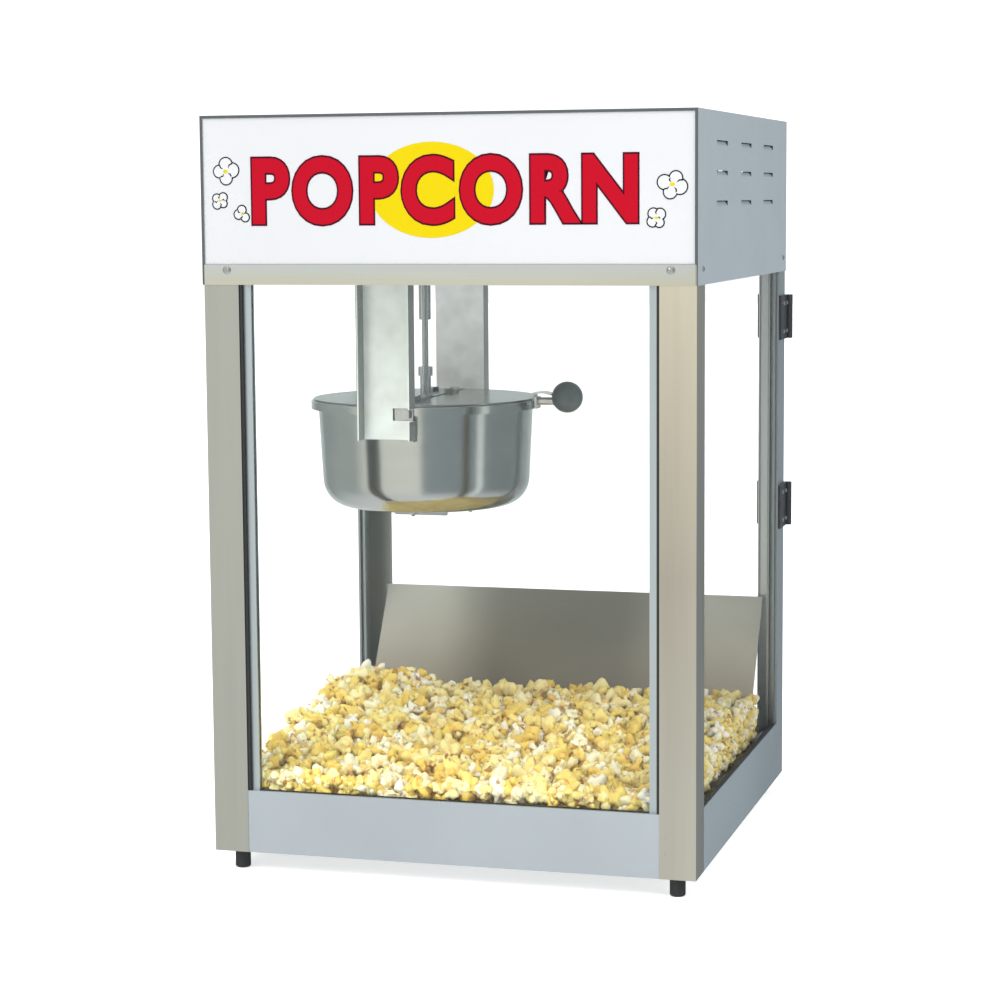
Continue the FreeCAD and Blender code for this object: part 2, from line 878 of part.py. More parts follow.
def make_gearbox():
    """The reduction gearbox, with the bore that its output shaft runs in."""
    case = block((kx - dim.gearbox_half_x, kx + dim.gearbox_half_x),
                 (-dim.gearbox_half_y, dim.gearbox_half_y), (ceiling_top, gearbox_top))
    bore = rod("z", (kx, 0, ceiling_top - past), dim.drive_radius + dim.running, dim.drive_rise + 2 * past)
    return cut(case, [bore])


def make_motor():
    cap_inset, cap_height = 10, 5
    can = rod("z", (kx, 0, gearbox_top), dim.motor_radius, dim.motor_height)
    cap = rod("z", (kx, 0, gearbox_top + dim.motor_height), dim.motor_radius - cap_inset, cap_height)
    return fuse([can, cap])


def make_drive_dog():
    """The output shaft and its slotted end, which lets the agitator's tongue slide out."""
    barrel_top = ceiling_top - 0.3
    slot_half, slot_spare = 1.6, 3
    shaft = rod("z", (kx, 0, barrel_top - past), dim.drive_radius, drive_top - barrel_top + past)
    barrel = rod("z", (kx, 0, dim.coupling_bottom), dim.coupling_radius, barrel_top - dim.coupling_bottom)
    reach = dim.coupling_radius + past
    slot = block((kx - reach, kx + reach), (-slot_half, slot_half),
                 (dim.coupling_bottom - past, dim.tongue_top + slot_spare))
    return cut(fuse([shaft, barrel]), [slot])


node(make_gearbox(), "motor_gearbox")
node(make_motor(), "agitator_motor")
node(make_drive_dog(), "drive_coupling")

socket_start = dim.lamp_x - 72
socket_long, socket_floor = 30, 10
neck_start = socket_start + socket_floor + 1


def make_lamp_socket():
    """A porcelain cup on a foot; the bulb lies level over the opening in the ceiling."""
    foot_x, foot_half, play, overrun = 2, 15, 0.4, 5
    cup = rod("x", (socket_start, 0, dim.lamp_z), dim.socket_radius, socket_long)
    hollow = rod("x", (socket_start + socket_floor, 0, dim.lamp_z), dim.bulb_neck + play,
                 socket_long - socket_floor + overrun)
    foot = block((socket_start + foot_x, socket_start + 22), (-foot_half, foot_half),
                 (ceiling_top, dim.lamp_z - 12))
    return cut(fuse([cup, foot]), [hollow])


def make_lamp_bulb():
    neck = rod("x", (neck_start, 0, dim.lamp_z), dim.bulb_neck, 42)
    return fuse([ball((dim.lamp_x, 0, dim.lamp_z), dim.lamp_radius), neck])


node(make_lamp_socket(), "lamp_socket")
node(make_lamp_bulb(), "lamp_bulb")

rocker_axis_y = dim.half_depth - 2
pin_reach = dim.rocker_half + 1


def make_switch_bezel(x):
    """The switch's body, a cup through the panel with a flange outside and two pivot bores."""
    flange_x, flange_z, flange_thick = 9, 14.5, 1.5
    body_x, body_z, body_deep = 7.3, 12.4, 16
    hollow_x, hollow_z, floor = 6.2, 11.9, 2
    z = dim.switch_z
    flange = block((x - flange_x, x + flange_x), (back, back + flange_thick), (z - flange_z, z + flange_z))
    body = block((x - body_x, x + body_x), (back - body_deep, back + 1), (z - body_z, z + body_z))
    hollow = block((x - hollow_x, x + hollow_x), (back - body_deep + floor, back + flange_thick + past),
                   (z - hollow_z, z + hollow_z))
    reach = pin_reach + dim.running
    bore = rod("x", (x - reach, rocker_axis_y, z), dim.rocker_pin + dim.running, 2 * reach)
    return cut(fuse([flange, body]), [hollow, bore])


def make_rocker(x):
    """A rocker with a shallow V face, its upper end pressed in, and its pivot pin."""
    shape = [(-2, -4), (8, -9.8), (5.2, 0), (3.5, 10.4), (-2, 4)]
    corners = [(rocker_axis_y + depth, dim.switch_z + rise) for depth, rise in shape]
    paddle = extrude("YZ_Plane", corners, x - dim.rocker_half, x + dim.rocker_half)
    pin = rod("x", (x - pin_reach, rocker_axis_y, dim.switch_z), dim.rocker_pin, 2 * pin_reach)
    return fuse([paddle, pin])


node(group([make_switch_bezel(x) for x in SWITCH_XS.values()]), "switch_bezels")
for name, x in SWITCH_XS.items():
    node(make_rocker(x), f"{name}_rocker")


def make_lead_gland():
    """The bushing that the supply lead comes out of."""
    inside, long = 12, 19
    flange_radius, flange_thick = 10, 2.5
    x, z = dim.gland_x, dim.gland_z
    flange = rod("y", (x, back, z), flange_radius, flange_thick)
    barrel = rod("y", (x, back - inside, z), dim.gland_radius, long)
    bore = rod("y", (x, back - inside - past, z), dim.gland_bore, long + 2 * past)
    return cut(fuse([flange, barrel]), [bore])


node(make_lead_gland(), "lead_gland")

# --------------------------------------------------------------------------- kettle hangers


def make_hanger(end):
    """A channel hung from the ceiling, with a side notch that the kettle's trunnion sits in."""
    near, far = dim.hanger_web_y, dim.hanger_web_y + dim.hanger_flange
    t = dim.hanger_plate
    left, right = dim.hanger_left, dim.hanger_right
    corners = [(left, near), (right, near), (right, far), (right - t, far), (right - t, near + t),
               (left + t, near + t), (left + t, far), (left, far)]
    mirrored = [(x, y * end) for x, y in corners]
    channel = extrude("XY_Plane", mirrored, dim.hanger_bottom, dim.ceiling)
    tab = block((left, right), spans(end, near, far), (dim.ceiling - t, dim.ceiling))
    notch = block((dim.notch_left, right + past), spans(end, near - past, far + past),
                  (dim.notch_low, dim.notch_high))
    return cut(fuse([channel, tab]), [notch])


node(make_hanger(-1), "kettle_hanger_front")
node(make_hanger(1), "kettle_hanger_rear")

BOLT_XS = (-117, -82)
bolt_y = dim.hanger_web_y + 11
bolt_radius, bolt_height = 5, 4
hanger_bolts = [
    prism((x, bolt_y * end, ceiling_top), bolt_radius, bolt_height) for x in BOLT_XS for end in (-1, 1)
]
node(group([make_foot_screw(x, y) for x, y in FOOT_SPOTS] + hanger_bolts), "frame_bolts")

# --------------------------------------------------------------------------- kettle

kettle_centre = (kx, 0)
rim = dim.rim_z
jacket_low = dim.jacket_radius - dim.jacket_taper
jacket_top = rim - dim.pan_wall


def make_jacket():
    """The outer shell under the rim: a tapered wall rolled into a flat bottom."""
    t, low = dim.plate, dim.jacket_bottom
    corners = [
        (0, low), (jacket_low, low), (dim.jacket_radius, jacket_top),
        (dim.jacket_radius - t, jacket_top), (jacket_low - t, low + t), (0, low + t),
    ]
    body = revolve(corners, kettle_centre)
    round_edges(body, lambda edge: circle_at(edge, jacket_low, low), dim.jacket_corner)
    round_edges(body, lambda edge: circle_at(edge, jacket_low - t, low + t), dim.jacket_corner - t)
    return body


def make_pan():
    """The popping pan, with its flange and rolled lip over the jacket."""
    t, low = dim.pan_wall, dim.pan_floor
    outer_round, lip_round = 6, 1.2
    inner, edge = dim.pan_radius - t, dim.rim_radius
    corners = [
        (0, low), (dim.pan_radius, low), (dim.pan_radius, rim - t), (edge - t, rim - t),
        (edge - t, rim - dim.rim_lip), (edge, rim - dim.rim_lip), (edge, rim), (inner, rim),
        (inner, low + t), (0, low + t),
    ]
    body = revolve(corners, kettle_centre)
    round_edges(body, lambda edge: circle_at(edge, dim.pan_radius, low), outer_round)
    round_edges(body, lambda edge: circle_at(edge, inner, low + t), outer_round - t)
    round_edges(body, lambda edge: circle_at(edge, dim.rim_radius, rim), lip_round)
    return body


def make_element():
    """The ring heater pressed against the pan's underside."""
    item = doc.addObject("Part::Torus", "element")
    bind(item, Radius1=dim.element_radius, Radius2=dim.element_wire)
    place(item, kx, 0, dim.pan_floor - dim.element_wire)
    return item


def make_trunnion(end):
    """A bracket under the rim that carries a round pin and its flat head."""
    x, z = dim.pivot_x, dim.pivot_z
    half, low = dim.bracket_half, dim.bracket_low
    weld_y, foot_top, clear, plate_thick = 114, 455, 0.4, 2.5
    head_half_x, head_half_z, head_thick = 7.4, 4.3, 2.5
    plate_y = dim.rim_radius + clear
    foot = block((x - half, x + half), spans(end, weld_y, dim.rim_radius + 1), (low, foot_top))
    plate = block((x - half, x + half), spans(end, plate_y, plate_y + plate_thick), (low, z + 6))
    inner, outer = dim.rim_radius + 2, dim.hanger_web_y + dim.hanger_plate + clear
    pin = rod("y", (x, inner if end > 0 else -outer, z), dim.trunnion_radius, outer - inner)
    head = block((x - head_half_x, x + head_half_x), spans(end, outer, outer + head_thick),
                 (z - head_half_z, z + head_half_z))
    return fuse([foot, plate, pin, head])


flap_z = rim + dim.flap_rise
FLAP_SPOTS = (-dim.flap_spot, dim.flap_spot)
ear_half = 13
ear_thick = 3


def make_crossbar():
    """The strip across the kettle that the two lid halves hinge on."""
    half, long = dim.crossbar_half, dim.lid_radius
    ear_lap = 2
    parts = [block((kx - half, kx + half), (-long, long), (rim, rim + dim.crossbar_plate))]
    for side in (-1, 1):
        axis_x = kx + dim.flap_axis * side
        start, end = kx + (half - ear_lap) * side, axis_x + ear_lap * side
        ear_x = (start, end) if side > 0 else (end, start)
        for y in FLAP_SPOTS:
            parts.append(rod("y", (axis_x, y - ear_half, flap_z), dim.flap_pin, 2 * ear_half))
            for low in (y - ear_half, y + ear_half - ear_thick):
                parts.append(block(ear_x, (low, low + ear_thick), (rim + ear_lap, flap_z + ear_lap)))
    shaft_hole = rod("z", (kx, 0, rim - past), dim.shaft_radius + dim.running, dim.crossbar_plate + 2 * past)
    return cut(fuse(parts), [shaft_hole])


def make_lid(side):
    """Half of a flat lid, with two knuckles that turn on the crossbar's pins."""
    low, high = rim + 0.5, rim + 2
    reach = dim.lid_radius + 7
    knuckle_half, knuckle_radius, web_half = 9, 2.6, 1.2
    room_half, room_gap = 3, 0.5
    disc = rod("z", (kx, 0, low), dim.lid_radius, high - low)
    half_x = (kx + dim.lid_gap, kx + reach) if side > 0 else (kx - reach, kx - dim.lid_gap)
    parts = [common(disc, block(half_x, (-reach, reach), (low - past, high + past)))]
    axis_x = kx + dim.flap_axis * side
    cutters = []
    for y in FLAP_SPOTS:
        parts.append(rod("y", (axis_x, y - knuckle_half, flap_z), knuckle_radius, 2 * knuckle_half))
        parts.append(block((axis_x - web_half, axis_x + web_half), (y - knuckle_half, y + knuckle_half),
                           (high - 0.5, flap_z)))
        cutters.append(rod("y", (axis_x, y - knuckle_half - past, flap_z), dim.flap_pin + dim.running,
                           2 * (knuckle_half + past)))
        for start in (y - ear_half - room_gap, y + ear_half - ear_thick - room_gap):
            cutters.append(block((axis_x - room_half, axis_x + room_half),
                                 (start, start + ear_thick + 2 * room_gap), (low - past, high + past)))
    return cut(fuse(parts), cutters)


bushing_bottom = rim + dim.crossbar_plate
collar_z = bushing_bottom + dim.bushing_height + 0.4
blade_bottom = dim.pan_floor + dim.pan_wall + 1


def make_bushing():
    """The tube on the crossbar that steadies the agitator shaft."""
    flange_radius, flange_thick = 8, 2
    tube = rod("z", (kx, 0, bushing_bottom), dim.bushing_radius, dim.bushing_height)
    flange = rod("z", (kx, 0, bushing_bottom), flange_radius, flange_thick)
    bore = rod("z", (kx, 0, bushing_bottom - past), dim.shaft_radius + dim.running,
               dim.bushing_height + 2 * past)
    return cut(fuse([tube, flange]), [bore])


def make_shaft():
    """The long agitator shaft, with its collar, its sleeve and the tongue at its top."""
    half, thin = dim.tongue_half, dim.tongue_thin
    round_part = rod("z", (kx, 0, blade_bottom), dim.shaft_radius, dim.shaft_top - blade_bottom)
    tongue = block((kx - half, kx + half), (-thin, thin), (dim.shaft_top - 1, dim.tongue_top))
    collar = rod("z", (kx, 0, collar_z), dim.collar_radius, dim.collar_height)
    sleeve = rod("z", (kx, 0, dim.sleeve_bottom), dim.sleeve_radius, dim.sleeve_top - dim.sleeve_bottom)
    return fuse([round_part, tongue, collar, sleeve])


def make_blades():
    """Two arms that sweep the pan's floor, on a hub, with upright stirrers."""
    low, half, stirrer_half = blade_bottom, 4, 2
    hub_height, arm_height, stirrer_height = 14, 5, 22
    hub = rod("z", (kx, 0, low), dim.hub_radius, hub_height)
    arms = block((kx - dim.blade_reach, kx + dim.blade_reach), (-half, half), (low, low + arm_height))
    stirrers = [
        block((x - stirrer_half, x + stirrer_half), (-half, half), (low, low + stirrer_height))
        for x in (kx - dim.stirrer_spot, kx + dim.stirrer_spot)
    ]
    bore = rod("z", (kx, 0, low - past), dim.shaft_radius + dim.running, hub_height + 2 * past)
    return cut(fuse([hub, arms] + stirrers), [bore])


def make_handle():
    """A rod from a pad on the rim's lip and a bent strap above it, both reaching to the knob."""
    lip, half, t = kx + dim.rim_radius, dim.grip_half, dim.strap
    pad_gap, pad_thick, rod_lap, strap_foot = 0.2, 2.5, 1, 2.3
    pad = block((lip + pad_gap, lip + pad_gap + pad_thick), (-half, half),
                (rim - dim.rim_lip, dim.rod_z + 5))
    grip_rod = rod("x", (lip + rod_lap, 0, dim.rod_z), dim.rod_radius, dim.knob_x - dim.grip_half - lip)
    foot_x, top = lip - strap_foot, dim.knob_z + 5
    bend_x, end_x, end_z = foot_x + 12, dim.knob_x - dim.knob_radius + 1, dim.knob_z + 3.6
    corners = [
        (foot_x, rim), (foot_x, top), (bend_x, top + 1), (end_x, end_z), (end_x, end_z - t),
        (bend_x, top + 1 - t), (foot_x + t, top - t), (foot_x + t, rim),
    ]
    strap = extrude("XZ_Plane", corners, -half, half)
    return group([cut(fuse([pad, grip_rod]), [strap]), strap])


def make_knob():
    """The round grip, bored for the rod and recessed for the strap's end."""
    start, bore_long, recess_long = dim.knob_x - dim.knob_radius - 3, 12, 5
    bore = rod("x", (start, 0, dim.rod_z), dim.rod_radius + dim.running, bore_long)
    side_gap = dim.grip_half + 0.5
    recess = block((start, start + recess_long), (-side_gap, side_gap), (dim.knob_z + 1, dim.knob_z + 7))
    return cut(ball((dim.knob_x, 0, dim.knob_z), dim.knob_radius), [bore, recess])


def make_kettle_nuts():
    """Hexagon nuts on the studs that hold the heater under the kettle."""
    spot, nut_radius, nut_height, stud_radius, stud_drop = dim.nut_spot, 5.5, 5, 2, 3
    low = dim.jacket_bottom - nut_height
    nuts = []
    for x, y in ((-spot, 0), (spot, 0), (0, -spot), (0, spot)):
        nut = prism((kx + x, y, low), nut_radius, nut_height)
        stud = rod("z", (kx + x, y, low - stud_drop), stud_radius, nut_height)
        nuts.append(fuse([nut, stud]))
    return group(nuts)


node(make_jacket(), "kettle_jacket")
node(make_pan(), "kettle_pan")
node(make_element(), "heater_ring")
node(group([make_trunnion(end) for end in (-1, 1)]), "kettle_trunnions")
node(make_crossbar(), "lid_crossbar")
node(make_lid(-1), "lid_left")
node(make_lid(1), "lid_right")
node(make_bushing(), "shaft_bushing")
node(make_shaft(), "agitator_shaft")
node(make_blades(), "agitator_blades")
node(make_handle(), "kettle_handle")
node(make_knob(), "handle_knob")
node(make_kettle_nuts(), "kettle_nuts")

# --------------------------------------------------------------------------- rear door

door_y = dim.half_depth + 1
door_out = door_y + dim.pane
leaf_out = door_out + dim.leaf
axis = dim.hinge_axis
HINGES = (dim.hinge_upper, dim.hinge_lower)
half_hinge = dim.hinge_height / 2
knuckle_gap = 0.3


def make_post_leaf(z):
    """The leaf on the post's side, with the lower knuckle and the pin."""
    low, high = z - half_hinge, z + half_hinge
    leaf_x = (dim.half_width, dim.half_width + dim.leaf)
    leaf = block(leaf_x, (dim.post_leaf_start, dim.half_depth - dim.sheet_set), (low, high))
    arm = block(leaf_x, (dim.half_depth - 1, axis - 0.5), (low, z))
    knuckle = rod("z", (axis, axis, low), dim.hinge_radius, half_hinge)
    pin = rod("z", (axis, axis, low + 1), dim.hinge_pin, dim.hinge_height - 2)
    return fuse([leaf, arm, knuckle, pin])


def make_door_leaf(z):
    """The leaf on the door's back, with the upper knuckle."""
    low, high = z - half_hinge, z + half_hinge
    leaf = block((dim.door_leaf_start, dim.door_right), (door_out, leaf_out), (low, high))
    arm = block((dim.door_right - 1, axis), (door_out, leaf_out), (z + knuckle_gap, high))
    knuckle = rod("z", (axis, axis, z + knuckle_gap), dim.hinge_radius, half_hinge - knuckle_gap)
    bore = rod("z", (axis, axis, z - past), dim.hinge_pin + dim.running, half_hinge + 2 * past)
    return cut(fuse([leaf, arm, knuckle]), [bore])


door_pane = block((dim.door_left, dim.door_right), (door_y, door_out), (dim.door_bottom, dim.door_top))
node(door_pane, "rear_door")
node(group([make_post_leaf(z) for z in HINGES]), "hinge_post_leaves")
node(group([make_door_leaf(z) for z in HINGES]), "hinge_door_leaves")

LEAF_SCREW_YS = (227, 248)
leaf_screw_rise = 16
leaf_screws = [
    make_screw("x", (dim.half_width + dim.leaf, y, z + rise), 1, dim.leaf_screw)
    for z in HINGES for y in LEAF_SCREW_YS for rise in (-leaf_screw_rise, leaf_screw_rise)
]
node(group(leaf_screws), "hinge_screws")

pull_out, pull_thin, pull_tall = 4.5, 1.4, 6
node(make_bent_pull(door_out, pull_out, pull_thin, dim.door_pull_low, dim.door_pull_low + pull_tall, 1.5,
                    dim.door_pull_left, dim.door_pull_right), "door_pull")
magnet_left, magnet_gap = dim.door_left - 2, 0.1
node(block((magnet_left, magnet_left + dim.magnet_width), (dim.half_depth, door_y - magnet_gap),
           (dim.magnet_low, dim.magnet_high)), "door_magnet")

# --------------------------------------------------------------------------- checks and files

doc.recompute()
for item in doc.Objects:
    if "Invalid" in item.State or "Error" in item.State:
        raise RuntimeError(f"{item.Name} ({item.Label}) failed: {item.State}")

os.makedirs("parts", exist_ok=True)
for item in NODES:
    shape = item.Shape
    if shape.isNull() or not shape.isValid() or not shape.Solids:
        raise RuntimeError(f"{item.Label} has no valid solid")
    shape.exportStep(f"parts/{item.Label}.step")
    print(f"{item.Label:26s} solids {len(shape.Solids):3d}  volume {shape.Volume / 1000:10.2f} cm3")
print(len(NODES), "nodes")
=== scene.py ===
"""A counter-top popcorn cart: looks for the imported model."""
import math
import random

import bmesh
import bpy
from mathutils import Euler, Matrix, Vector, noise


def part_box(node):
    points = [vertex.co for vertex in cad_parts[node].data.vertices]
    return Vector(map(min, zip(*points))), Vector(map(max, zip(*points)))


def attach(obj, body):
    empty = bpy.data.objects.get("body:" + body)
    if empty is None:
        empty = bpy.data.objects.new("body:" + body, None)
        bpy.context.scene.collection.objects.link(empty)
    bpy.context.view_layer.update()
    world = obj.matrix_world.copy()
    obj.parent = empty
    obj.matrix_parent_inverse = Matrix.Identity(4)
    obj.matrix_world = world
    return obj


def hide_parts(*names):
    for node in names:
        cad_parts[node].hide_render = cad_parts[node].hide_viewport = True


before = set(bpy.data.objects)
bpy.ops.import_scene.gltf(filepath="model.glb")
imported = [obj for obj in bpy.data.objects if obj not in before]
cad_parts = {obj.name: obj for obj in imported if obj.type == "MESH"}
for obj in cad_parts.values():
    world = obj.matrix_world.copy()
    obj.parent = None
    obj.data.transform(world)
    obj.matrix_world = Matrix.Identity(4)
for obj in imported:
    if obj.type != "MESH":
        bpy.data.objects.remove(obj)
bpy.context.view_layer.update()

# ------------------------------------------------------------------ camera

VIEW_AIM = Vector((-0.0132, -0.0104, 0.3654))
VIEW_DISTANCE = 2.797
VIEW_AZIMUTH = math.radians(15.84)
VIEW_ELEVATION = math.radians(6.68)
VIEW_ROLL = math.radians(-0.413)
LENS_MM = 92.4


def make_camera():
    back = Vector((
        math.sin(VIEW_AZIMUTH) * math.cos(VIEW_ELEVATION),
        -math.cos(VIEW_AZIMUTH) * math.cos(VIEW_ELEVATION),
        math.sin(VIEW_ELEVATION),
    ))
    level = Vector((math.cos(VIEW_AZIMUTH), math.sin(VIEW_AZIMUTH), 0))
    upright = back.cross(level)
    right = level * math.cos(VIEW_ROLL) + upright * math.sin(VIEW_ROLL)
    up = upright * math.cos(VIEW_ROLL) - level * math.sin(VIEW_ROLL)
    data = bpy.data.cameras.new("camera")
    data.lens = LENS_MM
    data.sensor_width = 36
    data.clip_end = 50
    camera = bpy.data.objects.new("camera", data)
    turned = Matrix((right, up, back)).transposed().to_4x4()
    camera.matrix_world = Matrix.Translation(VIEW_AIM + back * VIEW_DISTANCE) @ turned
    bpy.context.collection.objects.link(camera)
    bpy.context.scene.camera = camera


make_camera()

# ------------------------------------------------------------------ light and floor

# The studio round the cart as metal sees it: a place round the compass (0.25 is the front, 0.5 the
# right, 0.75 the back, 0 and 1 the left) and the brightness there.
ROOM_STOPS = [
    (0.0, (0.42, 0.46, 0.45)),
    (0.06, (0.38, 0.42, 0.41)),
    (0.1, (0.80, 0.80, 0.73)),
    (0.275, (0.88, 0.87, 0.79)),
    (0.292, (0.27, 0.315, 0.33)),
    (0.452, (0.225, 0.27, 0.285)),
    (0.461, (0.92, 0.95, 0.94)),
    (0.475, (0.92, 0.95, 0.94)),
    (0.484, (0.21, 0.24, 0.25)),
    (0.64, (0.20, 0.23, 0.24)),
    (0.70, (0.36, 0.40, 0.42)),
    (0.77, (0.64, 0.72, 0.71)),
    (0.85, (0.64, 0.72, 0.71)),
    (0.90, (0.30, 0.33, 0.34)),
    (1.0, (0.42, 0.46, 0.45)),
]
OVERHEAD = (0.78, 0.80, 0.82)
# How steep a reflected ray is, up or down, where OVERHEAD starts to blend in and where it is all there is.
OVERHEAD_STEEPNESS = (0.35, 0.8)
BACKDROP_STRENGTH = 1.3
FLOOR_GLOW = 0.5
FLOOR_REACH = 14


def fill_ramp(ramp, stops):
    """Set a colour ramp's (position, colour) stops."""
    elements = ramp.color_ramp.elements
    while len(elements) < len(stops):
        elements.new(0.5)
    for element, (position, colour) in zip(elements, stops):
        element.position = position
        element.color = (*colour, 1)


def area_light(name, place, aim, size, power, glossy=True):
    data = bpy.data.lights.new(name, "AREA")
    data.shape = "RECTANGLE"
    data.size, data.size_y = size
    data.energy = power
    lamp = bpy.data.objects.new(name, data)
    lamp.location = place
    lamp.rotation_euler = (Vector(aim) - Vector(place)).to_track_quat("-Z", "Y").to_euler()
    lamp.visible_glossy = glossy
    bpy.context.collection.objects.link(lamp)


def sun_light(name, toward, strength, angle):
    data = bpy.data.lights.new(name, "SUN")
    data.energy = strength
    data.angle = math.radians(angle)
    lamp = bpy.data.objects.new(name, data)
    lamp.rotation_euler = Vector(toward).to_track_quat("-Z", "Y").to_euler()
    lamp.visible_glossy = False
    bpy.context.collection.objects.link(lamp)


def make_world():
    """A white backdrop for the eye, and a studio of softboxes and dark gaps for the metal."""
    world = bpy.data.worlds.new("studio")
    world.use_nodes = True
    tree = world.node_tree
    join = tree.links.new
    backdrop = tree.nodes["Background"]
    backdrop.inputs["Color"].default_value = (1, 1, 1, 1)
    backdrop.inputs["Strength"].default_value = BACKDROP_STRENGTH
    room = tree.nodes.new("ShaderNodeBackground")
    place = tree.nodes.new("ShaderNodeTexCoord")
    compass = tree.nodes.new("ShaderNodeTexGradient")
    compass.gradient_type = "RADIAL"
    join(place.outputs["Generated"], compass.inputs["Vector"])
    ramp = tree.nodes.new("ShaderNodeValToRGB")
    fill_ramp(ramp, ROOM_STOPS)
    join(compass.outputs["Fac"], ramp.inputs["Fac"])
    axes = tree.nodes.new("ShaderNodeSeparateXYZ")
    join(place.outputs["Generated"], axes.inputs["Vector"])
    steep = tree.nodes.new("ShaderNodeMath")
    steep.operation = "ABSOLUTE"
    join(axes.outputs["Z"], steep.inputs[0])
    rise = tree.nodes.new("ShaderNodeMapRange")
    rise.inputs["From Min"].default_value = OVERHEAD_STEEPNESS[0]
    rise.inputs["From Max"].default_value = OVERHEAD_STEEPNESS[1]
    join(steep.outputs["Value"], rise.inputs["Value"])
    blend = tree.nodes.new("ShaderNodeMixRGB")
    blend.inputs["Color2"].default_value = (*OVERHEAD, 1)
    join(rise.outputs["Result"], blend.inputs["Fac"])
    join(ramp.outputs["Color"], blend.inputs["Color1"])
    join(blend.outputs["Color"], room.inputs["Color"])
    path = tree.nodes.new("ShaderNodeLightPath")
    mix = tree.nodes.new("ShaderNodeMixShader")
    join(path.outputs["Is Camera Ray"], mix.inputs["Fac"])
    join(room.outputs["Background"], mix.inputs[1])
    join(backdrop.outputs["Background"], mix.inputs[2])
    join(mix.outputs["Shader"], tree.nodes["World Output"].inputs["Surface"])
    bpy.context.scene.world = world


def make_studio():
    bpy.context.scene.view_settings.view_transform = "Standard"
    make_world()
    sun_light("sun", (0.35, 0.75, -1.2), 2.1, 60)
    area_light("right_fill", (3.2, -1.2, 1.6), (0, 0, 0.4), (2.2, 2.2), 70, glossy=False)
    area_light("spot", (-1.0, -2.4, 1.9), (0, 0, 0.4), (0.35, 0.35), 8)


def make_floor():
    mesh = bpy.data.meshes.new("floor")
    corners = [(across * FLOOR_REACH, along * FLOOR_REACH, 0)
               for across, along in ((-1, -1), (1, -1), (1, 1), (-1, 1))]
    mesh.from_pydata(corners, [], [(0, 1, 2, 3)])
    floor = bpy.data.objects.new("floor", mesh)
    bpy.context.collection.objects.link(floor)
    material = bpy.data.materials.new("floor_paint")
    material.use_nodes = True
    shader = material.node_tree.nodes["Principled BSDF"]
    shader.inputs["Base Color"].default_value = (0.93, 0.93, 0.93, 1)
    shader.inputs["Roughness"].default_value = 0.9
    shader.inputs["Emission Color"].default_value = (1, 1, 1, 1)
    shader.inputs["Emission Strength"].default_value = FLOOR_GLOW
    mesh.materials.append(material)
    floor.visible_glossy = False


make_studio()
make_floor()

# ------------------------------------------------------------------ material kit


def grey(level):
    return (level, level, level)


def shade(colour, amount):
    return tuple(channel * amount for channel in colour)


